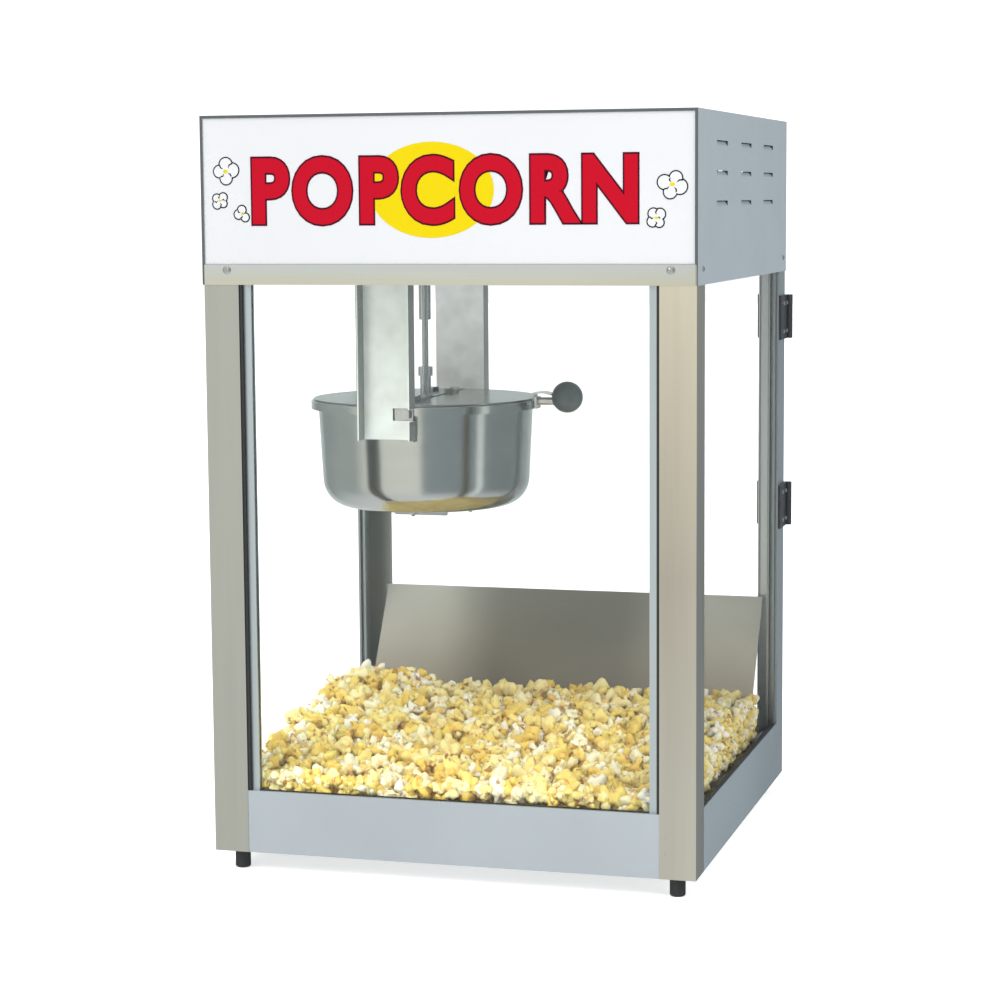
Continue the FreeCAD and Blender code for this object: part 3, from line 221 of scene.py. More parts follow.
class Recipe:
    """A node material in the making: its shader, and short calls that add and join nodes."""

    def __init__(self, name, colour, metallic=0.0, roughness=0.5, specular=None):
        self.material = bpy.data.materials.new(name)
        self.material.use_nodes = True
        self.tree = self.material.node_tree
        self.shader = self.tree.nodes["Principled BSDF"]
        self.shader.inputs["Base Color"].default_value = (*colour, 1)
        self.shader.inputs["Metallic"].default_value = metallic
        self.shader.inputs["Roughness"].default_value = roughness
        if specular is not None:
            self.shader.inputs["Specular IOR Level"].default_value = specular
        self.place = None

    def add(self, kind, **inputs):
        item = self.tree.nodes.new(kind)
        for key, value in inputs.items():
            item.inputs[key.replace("_", " ")].default_value = value
        return item

    def join(self, source, target):
        self.tree.links.new(source, target)

    def where(self, scale=(1, 1, 1)):
        """Object coordinates, stretched by scale."""
        place = self.add("ShaderNodeTexCoord")
        mapping = self.add("ShaderNodeMapping", Scale=scale)
        self.join(place.outputs["Object"], mapping.inputs["Vector"])
        return mapping.outputs["Vector"]

    def noise(self, scale, stretch=(1, 1, 1), detail=4.0, roughness=0.55):
        item = self.add("ShaderNodeTexNoise", Scale=scale, Detail=detail, Roughness=roughness)
        self.join(self.where(stretch), item.inputs["Vector"])
        return item.outputs["Fac"]

    def reach(self, axis, kind="Object"):
        """Where a point is along X, Y or Z in metres or, by kind Normal, how far its face turns that way."""
        place = self.add("ShaderNodeTexCoord")
        axes = self.add("ShaderNodeSeparateXYZ")
        self.join(place.outputs[kind], axes.inputs["Vector"])
        return axes.outputs[axis]

    def times(self, one, two):
        """Two colours multiplied together."""
        item = self.add("ShaderNodeMixRGB")
        item.blend_type = "MULTIPLY"
        item.inputs["Fac"].default_value = 1
        self.join(one, item.inputs["Color1"])
        self.join(two, item.inputs["Color2"])
        return item.outputs["Color"]

    def faded(self, source, fade):
        """A colour changed along an axis; fade is the axis, its low and high ends, and the stops."""
        axis, low, high, stops = fade
        return self.times(source, self.ramp(self.span(self.reach(axis), 0, 1, low, high), stops))

    def facing(self, source, axis, way, amount):
        """A colour darkened by amount on the faces that look along axis, up it (1) or down it (-1): a
        painted shade set by the way a face turns.
        """
        turn = self.span(self.reach(axis, "Normal"), 0, 1, 0.5 * way, 0.7 * way)
        return self.times(source, self.ramp(turn, [(0.0, grey(1)), (1.0, grey(amount))]))

    def ramp(self, source, stops):
        """A colour ramp of (position, colour) stops."""
        item = self.add("ShaderNodeValToRGB")
        fill_ramp(item, stops)
        self.join(source, item.inputs["Fac"])
        return item.outputs["Color"]

    def span(self, source, low, high, start=0.3, end=0.7):
        """A value moved from start..end to low..high."""
        item = self.add("ShaderNodeMapRange")
        item.inputs["From Min"].default_value = start
        item.inputs["From Max"].default_value = end
        item.inputs["To Min"].default_value = low
        item.inputs["To Max"].default_value = high
        self.join(source, item.inputs["Value"])
        return item.outputs["Result"]

    def mix(self, factor, under, over):
        """A colour blended towards the plain colour over."""
        item = self.add("ShaderNodeMix")
        item.data_type = "RGBA"
        first, second = (socket for socket in item.inputs if socket.enabled and socket.type == "RGBA")
        self.join(factor, item.inputs["Factor"])
        self.join(under, first)
        second.default_value = (*over, 1)
        return next(socket for socket in item.outputs if socket.enabled)

    def colour(self, source):
        self.join(source, self.shader.inputs["Base Color"])

    def rough(self, source):
        self.join(source, self.shader.inputs["Roughness"])

    def bump(self, source, strength, distance):
        item = self.add("ShaderNodeBump", Strength=strength, Distance=distance)
        self.join(source, item.inputs["Height"])
        self.join(item.outputs["Normal"], self.shader.inputs["Normal"])


def brushed(name, colour, along, roughness=0.3, spread=0.1, variation=0.06, grit=0.12, fade=None, side=1.0):
    """Metal with a fine grain and soft streaks along x, y or z; side darkens the faces that look right, a
    painted shade.
    """
    grain = {"x": (2, 260, 260), "y": (260, 2, 260), "z": (260, 260, 2)}[along]
    streak = {"x": (0.3, 6, 6), "y": (6, 0.3, 6), "z": (6, 6, 0.3)}[along]
    recipe = Recipe(name, colour, metallic=1.0, roughness=roughness)
    lines = recipe.noise(4.0, grain, detail=6)
    cloud = recipe.noise(5.0, streak, detail=3)
    tone = recipe.ramp(cloud, [(0.3, shade(colour, 1 - variation)), (0.7, shade(colour, 1 + variation))])
    # Painted shade on the faces that look right.
    tone = recipe.facing(tone, "X", 1, side) if side < 1 else tone
    recipe.colour(recipe.faded(tone, fade) if fade else tone)
    recipe.rough(recipe.span(lines, roughness - spread, roughness + spread))
    recipe.bump(lines, grit, 0.0002)
    return recipe.material


# Each fade is an axis, its low and high ends in metres, and the colours to multiply by between them. Every
# fade here is painted light and shade.
# Painted shade on the ramp: darkest across its middle, behind the kettle.
RAMP_PAINTED_SHADE = ("X", -0.22, 0.22, [
    (0.0, grey(0.92)),
    (0.16, (0.88, 0.88, 0.86)),
    (0.32, (0.55, 0.53, 0.50)),
    (0.66, (0.55, 0.54, 0.52)),
    (0.86, grey(1)),
])
# Painted light on the right front post: much lighter towards the top, a little lighter and bluer at the
# foot.
POST_PAINTED_LIGHT = ("Z", 0.1, 0.65, [(0.0, (1.06, 1.09, 1.14)), (0.4, (1, 0.98, 1)), (1.0, (1.45, 1.42, 1.36))])
# Painted reflection on the header rail: warmer along its lower edge, bluer along its upper edge, between the
# rail's heights.
RAIL_HEIGHTS = [corner[2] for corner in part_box("header_rail")]
RAIL_PAINTED_REFLECTION = ("Z", *RAIL_HEIGHTS, [(0.1, (1.1, 1.07, 0.98)), (0.9, (1.0, 1.06, 1.14))])
# Painted shade on the side rails: darker towards the back.
SIDE_RAIL_PAINTED_SHADE = ("Y", -0.25, 0.25, [(0.0, grey(1)), (0.5, grey(0.95)), (1.0, (0.76, 0.77, 0.79))])
# Painted light and shade across the heap: lighter and bluer at the left pane, darker and bluer at the right
# pane.
HEAP_PAINTED_LIGHT_ACROSS = ("X", -0.24, 0.24, [
    (0.0, (1.12, 1.18, 1.3)),
    (0.4, grey(1)),
    (0.72, grey(1)),
    (0.92, (0.70, 0.72, 0.80)),
    (1.0, (0.64, 0.66, 0.76)),
])
# Painted shade on the heap: darker towards the back.
HEAP_PAINTED_SHADE_BACK = ("Y", -0.22, 0.18, [(0.45, grey(1)), (0.85, (0.84, 0.83, 0.84))])
# Painted shadow on the ramp: darker and warmer from its top down to its foot, between the two heights below.
RAMP_PAINTED_SHADOW = [(0.0, (0.30, 0.26, 0.20)), (0.5, (0.43, 0.41, 0.34)), (1.0, (0.52, 0.52, 0.46))]
RAMP_PAINTED_SHADOW_HEIGHTS = (0.12, 0.225)


def ramp_sheet(name):
    """The ramp's rolled steel: pale at the top, darker and warmer lower down, a painted shadow."""
    recipe = Recipe(name, (0.5, 0.5, 0.45), metallic=0.7, roughness=0.42)
    level = recipe.span(recipe.reach("Z"), 0, 1, *RAMP_PAINTED_SHADOW_HEIGHTS)
    recipe.colour(recipe.faded(recipe.ramp(level, RAMP_PAINTED_SHADOW), RAMP_PAINTED_SHADE))
    cloud = recipe.noise(7.0, (1, 1, 0.5), detail=3)
    recipe.rough(recipe.span(cloud, 0.36, 0.48))
    return recipe.material


def mottled(name, colour, roughness=0.42, metallic=0.85, turned=1.0):
    """Galvanised sheet: faint cloudy spangle; turned darkens the faces that look to the right, a painted
    shade.
    """
    recipe = Recipe(name, colour, metallic=metallic, roughness=roughness)
    cloud = recipe.noise(38.0, detail=5)
    tone = recipe.ramp(cloud, [(0.35, shade(colour, 0.88)), (0.65, shade(colour, 1.06))])
    # Painted shade on the faces that look right.
    recipe.colour(recipe.facing(tone, "X", 1, turned) if turned < 1 else tone)
    recipe.rough(recipe.span(cloud, roughness - 0.08, roughness + 0.1))
    recipe.bump(cloud, 0.05, 0.0003)
    return recipe.material


def coated(name, colour, roughness=0.45, metallic=0.0, grit=900.0, strength=0.08, fade=None, front=1.0):
    """Paint or plastic, finely pebbled, a little uneven; front darkens the faces that look forward, a
    painted shade.
    """
    recipe = Recipe(name, colour, metallic=metallic, roughness=roughness)
    fine = recipe.noise(grit, detail=2)
    cloud = recipe.noise(6.0, detail=3)
    tone = recipe.ramp(cloud, [(0.3, shade(colour, 0.95)), (0.7, shade(colour, 1.04))])
    # Painted shade on the faces that look forward.
    tone = recipe.facing(tone, "Y", -1, front) if front < 1 else tone
    recipe.colour(recipe.faded(tone, fade) if fade else tone)
    recipe.rough(recipe.span(fine, roughness - 0.06, roughness + 0.06))
    recipe.bump(fine, strength, 0.0003)
    return recipe.material


def printed(name, colour, roughness=0.34):
    """Sheet plastic and the ink on it: very even, with a faint fine texture."""
    recipe = Recipe(name, colour, roughness=roughness, specular=0.1)
    fine = recipe.noise(1500.0, detail=2)
    cloud = recipe.noise(5.0, detail=2)
    recipe.colour(recipe.ramp(cloud, [(0.3, shade(colour, 0.985)), (0.7, shade(colour, 1.01))]))
    recipe.rough(recipe.span(fine, roughness - 0.03, roughness + 0.03))
    recipe.bump(fine, 0.004, 0.0001)
    return recipe.material


def clear(name, alpha, tint):
    """Glass or acrylic, with faint smears."""
    recipe = Recipe(name, tint, roughness=0.03)
    recipe.shader.inputs["Alpha"].default_value = alpha
    recipe.shader.inputs["IOR"].default_value = 1.47
    smear = recipe.noise(7.0, detail=3)
    recipe.rough(recipe.span(smear, 0.02, 0.07))
    return recipe.material


KERNEL_TONES = [
    (0.0, (0.83, 0.58, 0.11)),
    (0.35, (0.90, 0.70, 0.16)),
    (0.62, (0.93, 0.81, 0.36)),
    (1.0, (0.95, 0.91, 0.70)),
]
# The creases' colour: yellower, as the corn itself is, and darker, a painted shade.
CREASE_GOLD_AND_SHADE = (0.80, 0.48, 0.07)
HULL_BROWN = (0.33, 0.13, 0.02)


def popped(name):
    """Popcorn: each kernel has its own tone, yellower in its creases and darker there, a painted shade, with
    brown hull specks.
    """
    recipe = Recipe(name, (0.9, 0.8, 0.5), roughness=0.72)
    tone = recipe.add("ShaderNodeAttribute")
    tone.attribute_name = "tone"
    crease = recipe.add("ShaderNodeAttribute")
    crease.attribute_name = "crease"
    body = recipe.ramp(tone.outputs["Fac"], KERNEL_TONES)
    golden = recipe.mix(recipe.span(crease.outputs["Fac"], 0, 0.7, 0.45, 1), body, CREASE_GOLD_AND_SHADE)
    patch = recipe.noise(95.0, detail=2)
    specks = recipe.span(patch, 0, 0.85, 0.60, 0.68)
    speckled = recipe.mix(specks, golden, HULL_BROWN)
    # The heap is painted lighter at the left, darker at the right and towards the back: painted light and
    # shade.
    recipe.colour(recipe.faded(recipe.faded(speckled, HEAP_PAINTED_LIGHT_ACROSS), HEAP_PAINTED_SHADE_BACK))
    fine = recipe.noise(260.0, detail=4)
    recipe.bump(fine, 0.6, 0.0012)
    recipe.shader.inputs["Subsurface Weight"].default_value = 0.2
    recipe.shader.inputs["Subsurface Radius"].default_value = (1, 0.6, 0.3)
    recipe.shader.inputs["Subsurface Scale"].default_value = 0.003
    return recipe.material


MATERIALS = {
    # The posts are one steel, in copies tinted to paint the reflections and shade each shows: the left front
    # cooler, the right front warmer, lighter at the top and darker on its side, the rear left darker, the
    # rear right lighter and bluer.
    "post_left": brushed("post_steel_left_painted_reflection", (0.53, 0.535, 0.51), "z", roughness=0.38, variation=0.05),
    "post_right": brushed("post_steel_right_painted_reflection", (0.58, 0.55, 0.48), "z", roughness=0.38, variation=0.07,
                          fade=POST_PAINTED_LIGHT, side=0.74),
    "post_rear": brushed("post_steel_rear_painted_shade", (0.42, 0.44, 0.43), "z", roughness=0.4, variation=0.12),
    "post_shade": brushed("post_steel_shade", (0.60, 0.64, 0.68), "z", roughness=0.4, variation=0.06),
    "rail": brushed("rail_steel", (0.64, 0.65, 0.62), "x", roughness=0.36, fade=RAIL_PAINTED_REFLECTION),
    "apron": coated("apron_aluminium", (0.352, 0.387, 0.418), 0.42, metallic=0.35, grit=500.0),
    "side_rail": coated("side_rail_aluminium", (0.26, 0.305, 0.335), 0.42, metallic=0.35, grit=500.0,
                        fade=SIDE_RAIL_PAINTED_SHADE),
    # The cover's forward-looking faces are darkened, a painted shade: the thin dark line round the sign.
    "cover": coated("cover_paint", (0.29, 0.33, 0.36), 0.4, metallic=0.2, front=0.26),
    # The side channels are the front channels' aluminium, darker: a painted shade.
    "channel": brushed("channel_aluminium", (0.61, 0.685, 0.745), "z", roughness=0.4),
    "side_channel": brushed("side_channel_aluminium", (0.36, 0.40, 0.42), "z", roughness=0.4),
    "kettle": brushed("kettle_steel", (0.59, 0.605, 0.58), "x", roughness=0.16, spread=0.04, grit=0.015),
    "lid": brushed("lid_steel", (0.46, 0.475, 0.46), "y", roughness=0.24, spread=0.03, variation=0.03,
                   grit=0.01),
    "ramp": ramp_sheet("ramp_steel"),
    # The hangers' flanges that look right are darkened, a painted shade; the rear hanger's copy is lighter
    # and not metallic, painted light from the lamp in the head.
    "hanger": mottled("hanger_zinc", (0.88, 0.94, 0.90), metallic=0.5, turned=0.26),
    "hanger_rear": mottled("hanger_zinc_rear", (0.98, 1.0, 0.98), metallic=0.0, turned=0.2),
    "pan": mottled("pan_zinc", (0.6, 0.62, 0.62)),
    "bright": brushed("bright_steel", (0.60, 0.61, 0.61), "z", roughness=0.18),
    "pull": brushed("pull_steel", (0.42, 0.43, 0.42), "x", roughness=0.35),
    "motor": coated("motor_enamel", (0.05, 0.055, 0.06), 0.4),
    "glass": clear("clear_glass", 0.03, (0.5, 0.56, 0.56)),
    "door": clear("clear_acrylic", 0.12, (0.55, 0.60, 0.62)),
    "sign": printed("sign_white", (0.515, 0.52, 0.535)),
    "sign_red": printed("sign_red", (0.365, 0.001, 0.012)),
    "sign_plum": printed("sign_plum", (0.05, 0.001, 0.008)),
    "sign_yellow": printed("sign_yellow", (0.54, 0.42, 0.001)),
    "sign_line": printed("sign_line", (0.012, 0.013, 0.014)),
    "sign_puff": printed("sign_puff", (0.535, 0.54, 0.55)),
    "screw": coated("screw_zinc", (0.50, 0.51, 0.50), 0.2, metallic=0.85, strength=0.02),
    "rubber": coated("black_rubber", (0.02, 0.021, 0.022), 0.65),
    "plastic": coated("black_plastic", (0.028, 0.03, 0.035), 0.45),
    "knob": coated("knob_phenolic", (0.045, 0.054, 0.057), 0.16, grit=120.0, strength=0.01),
    "heater": coated("heater_scale", (0.12, 0.1, 0.09), 0.7, metallic=0.6),
    "porcelain": coated("porcelain", (0.8, 0.78, 0.72), 0.25, grit=150.0, strength=0.02),
    "bulb": coated("frosted_bulb", (0.95, 0.94, 0.9), 0.3, grit=300.0, strength=0.02),
    # The heap's core is a darker gold than the kernels: painted shade seen in the gaps between them.
    "core": coated("heap_core", (0.62, 0.40, 0.09), 0.8, grit=120.0),
    "popcorn": popped("popped_corn"),
}

NODE_MATERIALS = {
    "post_left": ["post_front_left"],
    "post_right": ["post_front_right"],
    "post_rear": ["post_rear_left"],
    "post_shade": ["post_rear_right"],
    "rail": ["header_rail"],
    "apron": ["front_apron", "rear_apron", "old_maid_drawer"],
    "side_rail": ["side_rail_left", "side_rail_right"],
    "cover": ["head_cover", "head_rear_panel"],
    "channel": ["front_glazing_channels"],
    "side_channel": ["left_glazing_channels", "right_glazing_channels"],
    "kettle": ["kettle_jacket", "kettle_pan"],
    "lid": ["lid_left", "lid_right", "lid_crossbar"],
    "ramp": ["rear_ramp", "corn_deck"],
    "hanger": ["kettle_hanger_front"],
    "hanger_rear": ["kettle_hanger_rear"],
    "screw": ["casing_screws", "hinge_screws"],
    "pan": ["base_pan", "ceiling_pan", "motor_gearbox"],
    "bright": ["frame_bolts", "kettle_nuts", "agitator_shaft", "shaft_bushing",
               "kettle_trunnions", "kettle_handle", "agitator_blades", "drawer_pull", "drive_coupling"],
    "pull": ["door_pull"],
    "motor": ["agitator_motor"],
    "glass": ["glass_front", "glass_left", "glass_right"],
    "door": ["rear_door"],
    "sign": ["sign_panel"],
    "rubber": ["rubber_feet", "glazing_seals"],
    "plastic": ["hinge_post_leaves", "hinge_door_leaves", "switch_bezels", "heat_rocker", "motor_rocker",
                "light_rocker", "lead_gland", "door_magnet"],
    "knob": ["handle_knob"],
    "heater": ["heater_ring"],
    "porcelain": ["lamp_socket"],
    "bulb": ["lamp_bulb"],
    "core": ["popcorn_heap"],
}


def paint_nodes():
    """Every CAD node gets its procedural material."""
    for key, names in NODE_MATERIALS.items():
        for name in names:
            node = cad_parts[name]
            for entry in node.material_slots:
                entry.material = MATERIALS[key]


paint_nodes()

# ------------------------------------------------------------------ sign artwork

SIGN_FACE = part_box("sign_panel")[0][1]
SIGN_SINK = 0.0004
# How far each layer of the artwork stands out of the panel, so that no two share a plane.
PROUD = {"ellipse": 0.00015, "line": 0.0003, "puff": 0.00042, "letter": 0.00045, "mark": 0.00054}
WORD_SPAN = (-0.200, 0.196)
WORD_HEIGHTS = (0.667, 0.734)
LETTER_BOLD, LINE_BOLD = 0.04, 0.062
LETTER_SPACING = 1.16
ELLIPSE_CENTRE, ELLIPSE_SIZE = (-0.012, 0.7005), (0.064, 0.047)
# The line round a puff, half the width of a crease's stroke, and how far the stroke bends aside.
PUFF_LINE, CREASE_HALF, CREASE_BEND = 0.0013, 0.0008, 0.0012
# A crease's points, from the puff's edge inwards: how far out, and how wide. Its length is in the same
# shares of the puff's reach.
CREASE_POINTS = ((1.02, 1.0), (0.7, 0.8), (0.42, 0.25))
CREASE_LENGTH = 0.6
GRAIN_SHARE, GRAIN_STRETCH = 0.13, 1.4
# Each drawn puff: its centre across and up, its reach, its lobes and the seed of its shape.
PUFFS = [
    (-0.2285, 0.7205, 0.0140, 4, 3),
    (-0.2350, 0.6915, 0.0085, 4, 5),
    (-0.2110, 0.6780, 0.0085, 3, 8),
    (0.2300, 0.7040, 0.0145, 4, 11),
    (0.2140, 0.6720, 0.0100, 4, 14),
]


def sign_piece(name, mesh, paint):
    """A flat piece of the sign's artwork, standing a hair proud of the panel."""
    mesh.materials.append(MATERIALS[paint])
    piece = bpy.data.objects.new(name, mesh)
    bpy.context.collection.objects.link(piece)
    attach(piece, "cabinet")


def flat_mesh(name, outlines, proud):
    """Closed thin slabs over outlines that can all be seen from their own middles."""
    shape = bmesh.new()
    for outline in outlines:
        count = len(outline)
        middle = [sum(point[axis] for point in outline) / count for axis in (0, 1)]
        rings = []
        for y in (SIGN_FACE - proud, SIGN_FACE + SIGN_SINK):
            ring = [shape.verts.new((x, y, z)) for x, z in outline]
            rings.append((shape.verts.new((middle[0], y, middle[1])), ring))
        (front_hub, front), (back_hub, back) = rings
        for step in range(count):
            after = (step + 1) % count
            shape.faces.new((front_hub, front[step], front[after]))
            shape.faces.new((back_hub, back[after], back[step]))
            shape.faces.new((front[step], back[step], back[after], front[after]))
    bmesh.ops.recalc_face_normals(shape, faces=shape.faces)
    mesh = bpy.data.meshes.new(name)
    shape.to_mesh(mesh)
    shape.free()
    return mesh


def written_word(name, bold):
    """The word in plain capitals, as a closed slab one unit thick."""
    curve = bpy.data.curves.new(name, "FONT")
    curve.body = "POPCORN"
    curve.offset = bold
    curve.extrude = 0.5
    curve.resolution_u = 6
    curve.space_character = LETTER_SPACING
    writing = bpy.data.objects.new(name, curve)
    bpy.context.collection.objects.link(writing)
    mesh = bpy.data.meshes.new_from_object(writing.evaluated_get(bpy.context.evaluated_depsgraph_get()))
    bpy.data.objects.remove(writing)
    bpy.data.curves.remove(curve)
    shape = bmesh.new()
    shape.from_mesh(mesh)
    bmesh.ops.remove_doubles(shape, verts=shape.verts, dist=1e-5)
    shape.to_mesh(mesh)
    shape.free()
    mesh.materials.clear()
    return mesh


def make_word():
    """Red letters over a slightly wider dark edge."""
    letters = written_word("sign_letters", LETTER_BOLD)
    edges = written_word("sign_letter_edges", LINE_BOLD)
    lows = [min(vertex.co[axis] for vertex in letters.vertices) for axis in (0, 1)]
    highs = [max(vertex.co[axis] for vertex in letters.vertices) for axis in (0, 1)]
    scales = [
        (span[1] - span[0]) / (high - low)
        for span, low, high in zip((WORD_SPAN, WORD_HEIGHTS), lows, highs)
    ]
    for mesh, proud, paint in ((edges, PROUD["line"], "sign_plum"), (letters, PROUD["letter"], "sign_red")):
        for vertex in mesh.vertices:
            x, z, side = vertex.co
            vertex.co = (
                WORD_SPAN[0] + (x - lows[0]) * scales[0],
                SIGN_FACE - proud if side > 0 else SIGN_FACE + SIGN_SINK,
                WORD_HEIGHTS[0] + (z - lows[1]) * scales[1],
            )
        sign_piece(mesh.name, mesh, paint)


def puff_lobes(reach, number, seed):
    """Round lobes about a middle, as (angle, distance, radius)."""
    dice = random.Random(seed)
    turn = dice.uniform(0, math.tau)
    return [
        (turn + (step + dice.uniform(-0.16, 0.16)) * math.tau / number,
         reach * dice.uniform(0.46, 0.56), reach * dice.uniform(0.40, 0.50))
        for step in range(number)
    ]


def puff_outline(x, z, lobes, grow):
    """The outline round the lobes, pushed out by grow."""
    outline = []
    steps = 120
    for step in range(steps):
        angle = math.tau * step / steps
        reach = 0
        for heading, distance, radius in lobes:
            along = distance * math.cos(angle - heading)
            inside = (radius + grow) ** 2 - distance ** 2 + along ** 2
            if inside > 0:
                reach = max(reach, along + math.sqrt(inside))
        outline.append((x + reach * math.cos(angle), z + reach * math.sin(angle)))
    return outline


def puff_creases(x, z, lobes):
    """Short tapered strokes from the dents between lobes towards the middle."""
    strokes = []
    for one, (heading, distance, radius) in enumerate(lobes):
        following = lobes[(one + 1) % len(lobes)][0]
        half = ((following - heading) % math.tau) / 2
        angle = heading + half
        chord = max(0, radius ** 2 - (distance * math.sin(half)) ** 2)
        outer = distance * math.cos(half) + math.sqrt(chord)
        across = (-math.sin(angle) * CREASE_HALF, math.cos(angle) * CREASE_HALF)
        points = []
        for part, width in CREASE_POINTS:
            sweep = CREASE_BEND * math.sin(math.pi * (1 - part) / CREASE_LENGTH)
            centre = (x + math.cos(angle) * outer * part - math.sin(angle) * sweep,
                      z + math.sin(angle) * outer * part + math.cos(angle) * sweep)
            points.append((centre, width))
        left = [(cx + across[0] * width, cz + across[1] * width) for (cx, cz), width in points]
        right = [(cx - across[0] * width, cz - across[1] * width) for (cx, cz), width in points]
        strokes.append(left + right[::-1])
    return strokes


def oval(x, z, wide, tall, steps):
    """The outline of an ellipse about a centre, from its two half sizes."""
    turns = [math.tau * step / steps for step in range(steps)]
    return [(x + wide * math.cos(turn), z + tall * math.sin(turn)) for turn in turns]


def flat_piece(name, outlines, layer, paint):
    sign_piece(name, flat_mesh(name, outlines, PROUD[layer]), paint)


def make_sign_art():
    """The yellow ellipse, the word over it, and the drawn puffs at both ends."""
    flat_piece("sign_ellipse", [oval(*ELLIPSE_CENTRE, *ELLIPSE_SIZE, 96)], "ellipse", "sign_yellow")
    make_word()
    edges, fills, creases, grains = [], [], [], []
    for x, z, reach, number, seed in PUFFS:
        lobes = puff_lobes(reach, number, seed)
        edges.append(puff_outline(x, z, lobes, PUFF_LINE))
        fills.append(puff_outline(x, z, lobes, 0))
        creases += puff_creases(x, z, lobes)
        size = reach * GRAIN_SHARE
        grains.append(oval(x, z, size * GRAIN_STRETCH, size, 24))
    flat_piece("sign_puff_edges", edges, "line", "sign_line")
    flat_piece("sign_puffs", fills, "puff", "sign_puff")
    flat_piece("sign_puff_creases", creases, "mark", "sign_line")
    flat_piece("sign_puff_grains", grains, "mark", "sign_yellow")


make_sign_art()

# ------------------------------------------------------------------ popcorn

HEAP_LOW, HEAP_HIGH = (Vector(corner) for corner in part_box("popcorn_heap"))
RAMP_LOW = Vector(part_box("rear_ramp")[0])
# How far back the ramp leans for each metre of its height.
RAMP_LEAN = 0.598
# The heap's height at the front, its rise to the back, and its lift against each side pane.
HEAP_FRONT, HEAP_RISE = 0.0985, 0.0245
HEAP_LIFT = {-1: 0.018, 1: 0.009}
HUMMOCK_SCALE, HUMMOCK_HEIGHT = 15, 0.007
# A kernel before it is scaled: how many lobes, how far out they sit, their radii, the reach where no lobe
# is met, and how close two lobes' reaches are in a crease.
KERNEL_SHAPES = 12
LOBE_NUMBER, LOBE_OUT, LOBE_RADIUS = (7, 11), (0.38, 0.80), (0.22, 0.38)
HUB_REACH, CREASE_WIDTH = 0.3, 0.13
# The bumps on a kernel's lobes, coarse then fine: how high, and how closely set.
KERNEL_BUMPS = ((0.22, 3.4), (0.13, 7.5))
KERNEL_RADIUS = (0.0098, 0.0162)
KERNEL_SQUEEZE = (0.85, 1.15)
TONE_MEAN, TONE_SPREAD = 0.52, 0.32
KERNEL_PITCH, SIDE_PITCH = 0.0172, 0.0135
LOWER_PITCH = KERNEL_PITCH * 1.05
# How far the two layers lie under the heap's surface.
UPPER_SINK, LOWER_SINK = 0.004, 0.012
# How far a place strays from its grid, as a share of the pitch, and from its level.
GRID_STRAY, LEVEL_STRAY = 0.3, 0.003
# Levels of the kernels that lean on the panes: two rows in front, and rows up to the top at the sides.
FRONT_LEVELS = (0.084, 0.096)
SIDE_LEVEL, SIDE_STEP = 0.084, 0.012
PANE_INSET = 0.006
LOOSE_KERNELS = 70
LOOSE_RISE = (0.003, 0.007)
# The lumpy core: its grid, how far it lies under the kernels and inside the heap, and its edge's drop.
CORE_STEP, CORE_SINK, CORE_INSET, CORE_EDGE_DROP = 0.008, 0.013, 0.009, 0.004
LUMP_SCALE, LUMP_HEIGHT = 90, 0.005
# The limits of the kernels' room: the front pane, the side channels, and the channels in the front corners.
FRONT_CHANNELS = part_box("front_glazing_channels")[1]
GLASS_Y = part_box("glass_front")[1].y + 0.0006
GLASS_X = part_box("right_glazing_channels")[0].x - 0.0006
CORNER_Y = FRONT_CHANNELS.y + 0.0005
CHANNEL_EDGE = FRONT_CHANNELS.x - 0.011


def ramp_front(z):
    """Where the ramp's front face is at a height, less a small gap."""
    return RAMP_LOW.y + (z - RAMP_LOW.z) * RAMP_LEAN - 0.0008


def heap_top(x, y):
    """The height of the popcorn: low at the front, higher at the back and against the side panes."""
    rise = (y - HEAP_LOW.y) / (HEAP_HIGH.y - HEAP_LOW.y)
    edge = min(1, abs(x) / HEAP_HIGH.x) ** 2
    lift = HEAP_LIFT[1 if x > 0 else -1] * edge * min(1, max(0, rise - 0.15) * 2.6)
    hummock = noise.noise(Vector((x, y, 0.3)) * HUMMOCK_SCALE) * HUMMOCK_HEIGHT
    return HEAP_FRONT + HEAP_RISE * min(1, max(0, rise) * 1.25) + lift + hummock


def ball_faces(level):
    """Directions and triangles of a geodesic ball."""
    sphere = bmesh.new()
    bmesh.ops.create_icosphere(sphere, subdivisions=level, radius=1)
    directions = [vertex.co.copy() for vertex in sphere.verts]
    faces = [tuple(vertex.index for vertex in face.verts) for face in sphere.faces]
    sphere.free()
    return directions, faces


def lobe_reach(direction, lobes):
    """How far the lobes reach along a direction, and how close it is to a crease, from 0 to 1."""
    reaches = []
    for centre, radius in lobes:
        along = direction.dot(centre)
        inside = along * along - centre.length_squared + radius * radius
        reaches.append(along + math.sqrt(inside) if inside > 0 else HUB_REACH)
    reaches.sort(reverse=True)
    return reaches[0], 1 - min(1, (reaches[0] - reaches[1]) / CREASE_WIDTH)


def popped_shape(seed, directions):
    """One popped kernel: round lobes of different sizes that meet in creases, about 1 across its reach."""
    dice = random.Random(seed)
    lobes = []
    for _ in range(dice.randint(*LOBE_NUMBER)):
        heading = Vector([dice.gauss(0, 1) for _ in range(3)]).normalized()
        lobes.append((heading * dice.uniform(*LOBE_OUT), dice.uniform(*LOBE_RADIUS)))
    places = (Vector((seed, 0, 0)), Vector((0, seed, 0)))
    points, creases = [], []
    for direction in directions:
        reach, crease = lobe_reach(direction, lobes)
        for (height, scale), place in zip(KERNEL_BUMPS, places):
            reach *= 1 + height * noise.noise(direction * scale + place)
        points.append(direction * reach)
        creases.append(crease)
    return points, creases


